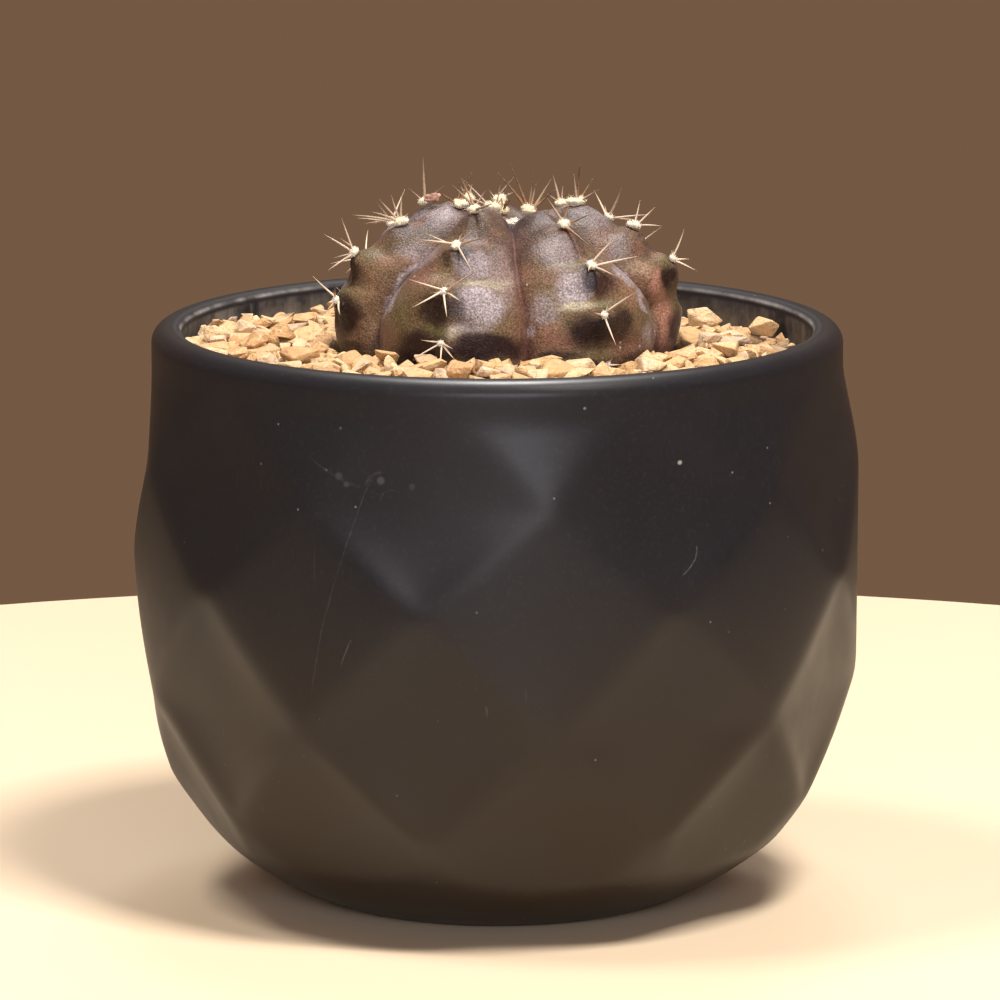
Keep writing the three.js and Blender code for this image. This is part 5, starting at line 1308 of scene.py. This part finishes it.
def build_gravel():
    shapes = chip_shapes(26, 909)
    rng = np.random.default_rng(4242)
    # free space between the stem and the wall
    table_az = np.arange(0, 360, 2.0)
    stem_r = {z: np.array([stem_radius_at(a, z) for a in table_az]) for z in (85.0, 87.0, 89.0, 91.0)}
    AZ = np.degrees(np.arctan2(GX - STEM_X, -(GY - STEM_Y))) % 360
    RR = np.hypot(GX - STEM_X, GY - STEM_Y)
    widest = np.maximum.reduce([np.interp(AZ, np.append(table_az, 360), np.append(v, v[0])) for v in stem_r.values()])
    free = (RR > widest + 0.55) & (np.hypot(GX, GY) < 49.9)
    H = np.full((NG, NG), 83.2)
    H[~free] = 200.0
    verts, faces, rgb = [], [], []
    total = 0

    def planes_of(shape, M):
        # points p = M v: plane n.v <= d becomes (M^-T n).p <= d
        Mi = np.linalg.inv(M).T
        return [(Mi @ n, d) for n, d in shape[2]]

    def surfaces(shape, M, x, y, reach):
        i0, i1 = np.searchsorted(gx, [x - reach, x + reach])
        j0, j1 = np.searchsorted(gx, [y - reach, y + reach])
        X = GX[i0:i1, j0:j1] - x
        Y = GY[i0:i1, j0:j1] - y
        up = np.full(X.shape, 1e9)
        lo = np.full(X.shape, -1e9)
        side = np.zeros(X.shape, bool)
        for n, d in planes_of(shape, M):
            v = d - n[0] * X - n[1] * Y
            if n[2] > 1e-6:
                up = np.minimum(up, v / n[2])
            elif n[2] < -1e-6:
                lo = np.maximum(lo, v / n[2])
            else:
                side |= v < 0
        ok = (up > lo) & ~side
        return (slice(i0, i1), slice(j0, j1)), up, lo, ok

    def put(shape, M, centre, color, H_win, up, ok, z):
        nonlocal total
        v = shape[0] @ M.T + centre
        verts.append(v)
        faces.append(shape[1] + total)
        rgb.append(np.repeat([color], len(v), 0))
        total += len(v)
        H_win[ok] = np.maximum(H_win[ok], up[ok] + z)

    def limit(x, y):
        front = smoothstep(-6, -26, y)
        r = math.hypot(x, y)
        near = smoothstep(46, 36, r)
        gap = 2.4 * math.exp(-((x - 18.2) / 3.2) ** 2 - ((y + 25.5) / 3.6) ** 2)
        low = 1.3 * smoothstep(38, 47, r) * smoothstep(0, 20, x) * (1 - 0.6 * front)
        low -= (0.3 * smoothstep(-18, -28, x) + 1.2 * smoothstep(-32, -45, x)) * smoothstep(-24, -10, y)
        return 87.9 - gap - low + 1.9 * front * near + 0.8 * near + 0.35 * math.sin(0.33 * x + 1.0) * math.cos(0.29 * y)

    # loose chips stand where the solid model has them
    loose = sorted(n for n in nodes_by_name if n.startswith("gravel_chip_"))
    ceiling = np.full((NG, NG), 1e9)
    placed = []
    for k, name in enumerate(loose):
        lo, hi = (np.array(c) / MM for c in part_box(name))
        r2 = np.random.default_rng(600 + k)
        shape = shapes[int(r2.integers(len(shapes)))]
        turn = r2.uniform(0, 2 * math.pi)
        R = rotation(r2.normal(0, 0.12), r2.normal(0, 0.12), turn)
        v = shape[0] @ R.T
        S = np.diag((hi - lo) * np.array([1.04, 1.04, 1.04]) / (v.max(0) - v.min(0)))
        M = S @ R
        v = shape[0] @ M.T
        centre = (lo + hi) / 2 - (v.max(0) + v.min(0)) / 2
        win, up, dn, ok = surfaces(shape, M, centre[0], centre[1], 6.0)
        c = ceiling[win]
        c[ok] = np.minimum(c[ok], dn[ok] + centre[2])
        placed.append((name, shape, M, centre, r2.uniform(0, 1, 3)))

    def drop(size_lo, size_hi, tries, top_add, tilt, sink, want):
        done = 0
        for _ in range(tries):
            if done >= want:
                break
            a = rng.uniform(0, 2 * math.pi)
            r = math.sqrt(rng.uniform(20.0 ** 2, 49.5 ** 2))
            x, y = r * math.sin(a), -r * math.cos(a)
            i, j = int((x + HALF) / GRID), int((y + HALF) / GRID)
            if not free[i, j]:
                continue
            s = rng.uniform(size_lo, size_hi)
            dims = np.array([s, s * rng.uniform(0.58, 0.85), s * rng.uniform(0.42, 0.72)])
            shape = shapes[int(rng.integers(len(shapes)))]
            R = rotation(rng.normal(0, tilt), rng.normal(0, tilt), rng.uniform(0, 2 * math.pi))
            M = R @ np.diag(dims)
            win, up, dn, ok = surfaces(shape, M, x, y, s * 0.75)
            if ok.sum() < 6 or not free[win][ok].all():
                continue
            z = float(np.percentile(H[win][ok] - dn[ok], 96)) - sink
            if (up[ok] + z).max() > limit(x, y) + top_add:
                continue
            if (up[ok] + z > ceiling[win][ok] + 0.15).any():
                continue
            color = rng.uniform(0, 1, 3)
            put(shape, M, np.array([x, y, z]), color, H[win], up, ok, z)
            done += 1
        return done

    counts = [drop(5.2, 8.0, 3000, -1.6, 0.30, 0.5, 230), drop(5.2, 8.4, 9000, 0.5, 0.32, 0.5, 330),
              drop(3.6, 5.4, 7000, 0.5, 0.5, 0.4, 170), drop(2.2, 3.4, 5000, 0.2, 0.6, 0.2, 120)]
    print("stone chips", counts)
    V = np.concatenate(verts)
    F = np.concatenate(faces)
    C = np.concatenate(rgb)
    print("stone triangles", len(F), "top", V[:, 2].max(), "low", V[:, 2].min())
    ob = mesh_object("stone_chip_layer", V, F.tolist(), [STONE], colors={"chip": C})
    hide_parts("gravel_bed")
    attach(ob, "root")
    for name, shape, M, centre, color in placed:
        v = shape[0] @ M.T + centre
        ob = mesh_object("loose_" + name, v, shape[1].tolist(), [STONE], colors={"chip": np.repeat([color], len(v), 0)})
        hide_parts(name)
        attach(ob, "root")


build_gravel()

# ------------------------------------------------------------------ soil: the solid stays, with a material of its own
soil = nodes_by_name["potting_soil"]
soil.data.materials.clear()
soil.data.materials.append(SOIL)


# ------------------------------------------------------------------ floor, lights, world
def material_floor():
    m, nt, bs = new_material("pale_floor")
    co = coords(nt)
    n1, _ = noise_tex(nt, co, 3.0, 4.0, 0.5)
    nt.links.new(mix_color(nt, n1, (0.70, 0.565, 0.405), (0.74, 0.60, 0.44)), bs.inputs["Base Color"])
    bs.inputs["Roughness"].default_value = 0.6
    return m


def build_floor():
    # a plain round floor, the same from every side
    R, rings, cols = 0.25, 12, 160
    v, f = [(0, 0, -0.0002)], []
    for i in range(1, rings + 1):
        for k in range(cols):
            a = 2 * math.pi * k / cols
            v.append((R * i / rings * math.cos(a), R * i / rings * math.sin(a), -0.0002))
    f += [(0, 1 + k, 1 + (k + 1) % cols) for k in range(cols)]
    f += grid_faces(rings, cols, True, False, 1)[:, ::-1].tolist()
    me = bpy.data.meshes.new("floor")
    me.from_pydata(v, [], f)
    me.polygons.foreach_set("use_smooth", np.ones(len(me.polygons), dtype=bool))
    me.materials.append(material_floor())
    ob = bpy.data.objects.new("floor", me)
    scene.collection.objects.link(ob)


build_floor()


def area(name, loc, target, size, power, color=(1, 1, 1), size_y=None):
    d = bpy.data.lights.new(name, "AREA")
    d.shape = "RECTANGLE"
    d.size = size
    d.size_y = size_y or size
    d.energy = power
    d.color = color
    ob = bpy.data.objects.new(name, d)
    ob.location = loc
    ob.rotation_euler = (Vector(target) - Vector(loc)).to_track_quat("-Z", "Y").to_euler()
    scene.collection.objects.link(ob)
    return ob


area("key", (0.34, -0.42, 1.15), (0, 0, 0.05), 0.26, 5.0, (1.0, 0.945, 0.875))
area("key_fill", (0.34, -0.42, 1.15), (0, 0, 0.05), 0.26, 16.6, (1.0, 0.945, 0.875)).visible_glossy = False
area("second", (-0.42, -0.10, 1.10), (0, 0, 0.05), 0.26, 7.2, (1.0, 0.95, 0.89)).visible_glossy = False
area("front_sheet", (0.05, -1.7, 0.55), (0, 0, 0.06), 0.9, 13.5, (0.93, 0.93, 1.0), 0.5)
area("back_soft", (0.1, 0.9, 0.9), (0, 0, 0.08), 0.6, 4.5, (1.0, 0.97, 0.92)).visible_glossy = False
area("glint", (0.02, 0.30, 1.10), (0, 0, 0.09), 0.16, 17.0, (1.0, 0.98, 0.95)).visible_diffuse = False

world = bpy.data.worlds.new("studio")
world.use_nodes = True
bg = world.node_tree.nodes["Background"]
bg.inputs[0].default_value = (0.172, 0.100, 0.058, 1.0)
bg.inputs[1].default_value = 1.0
scene.world = world
scene.view_settings.view_transform = "Standard"
scene.view_settings.look = "None"
scene.view_settings.exposure = 0.0
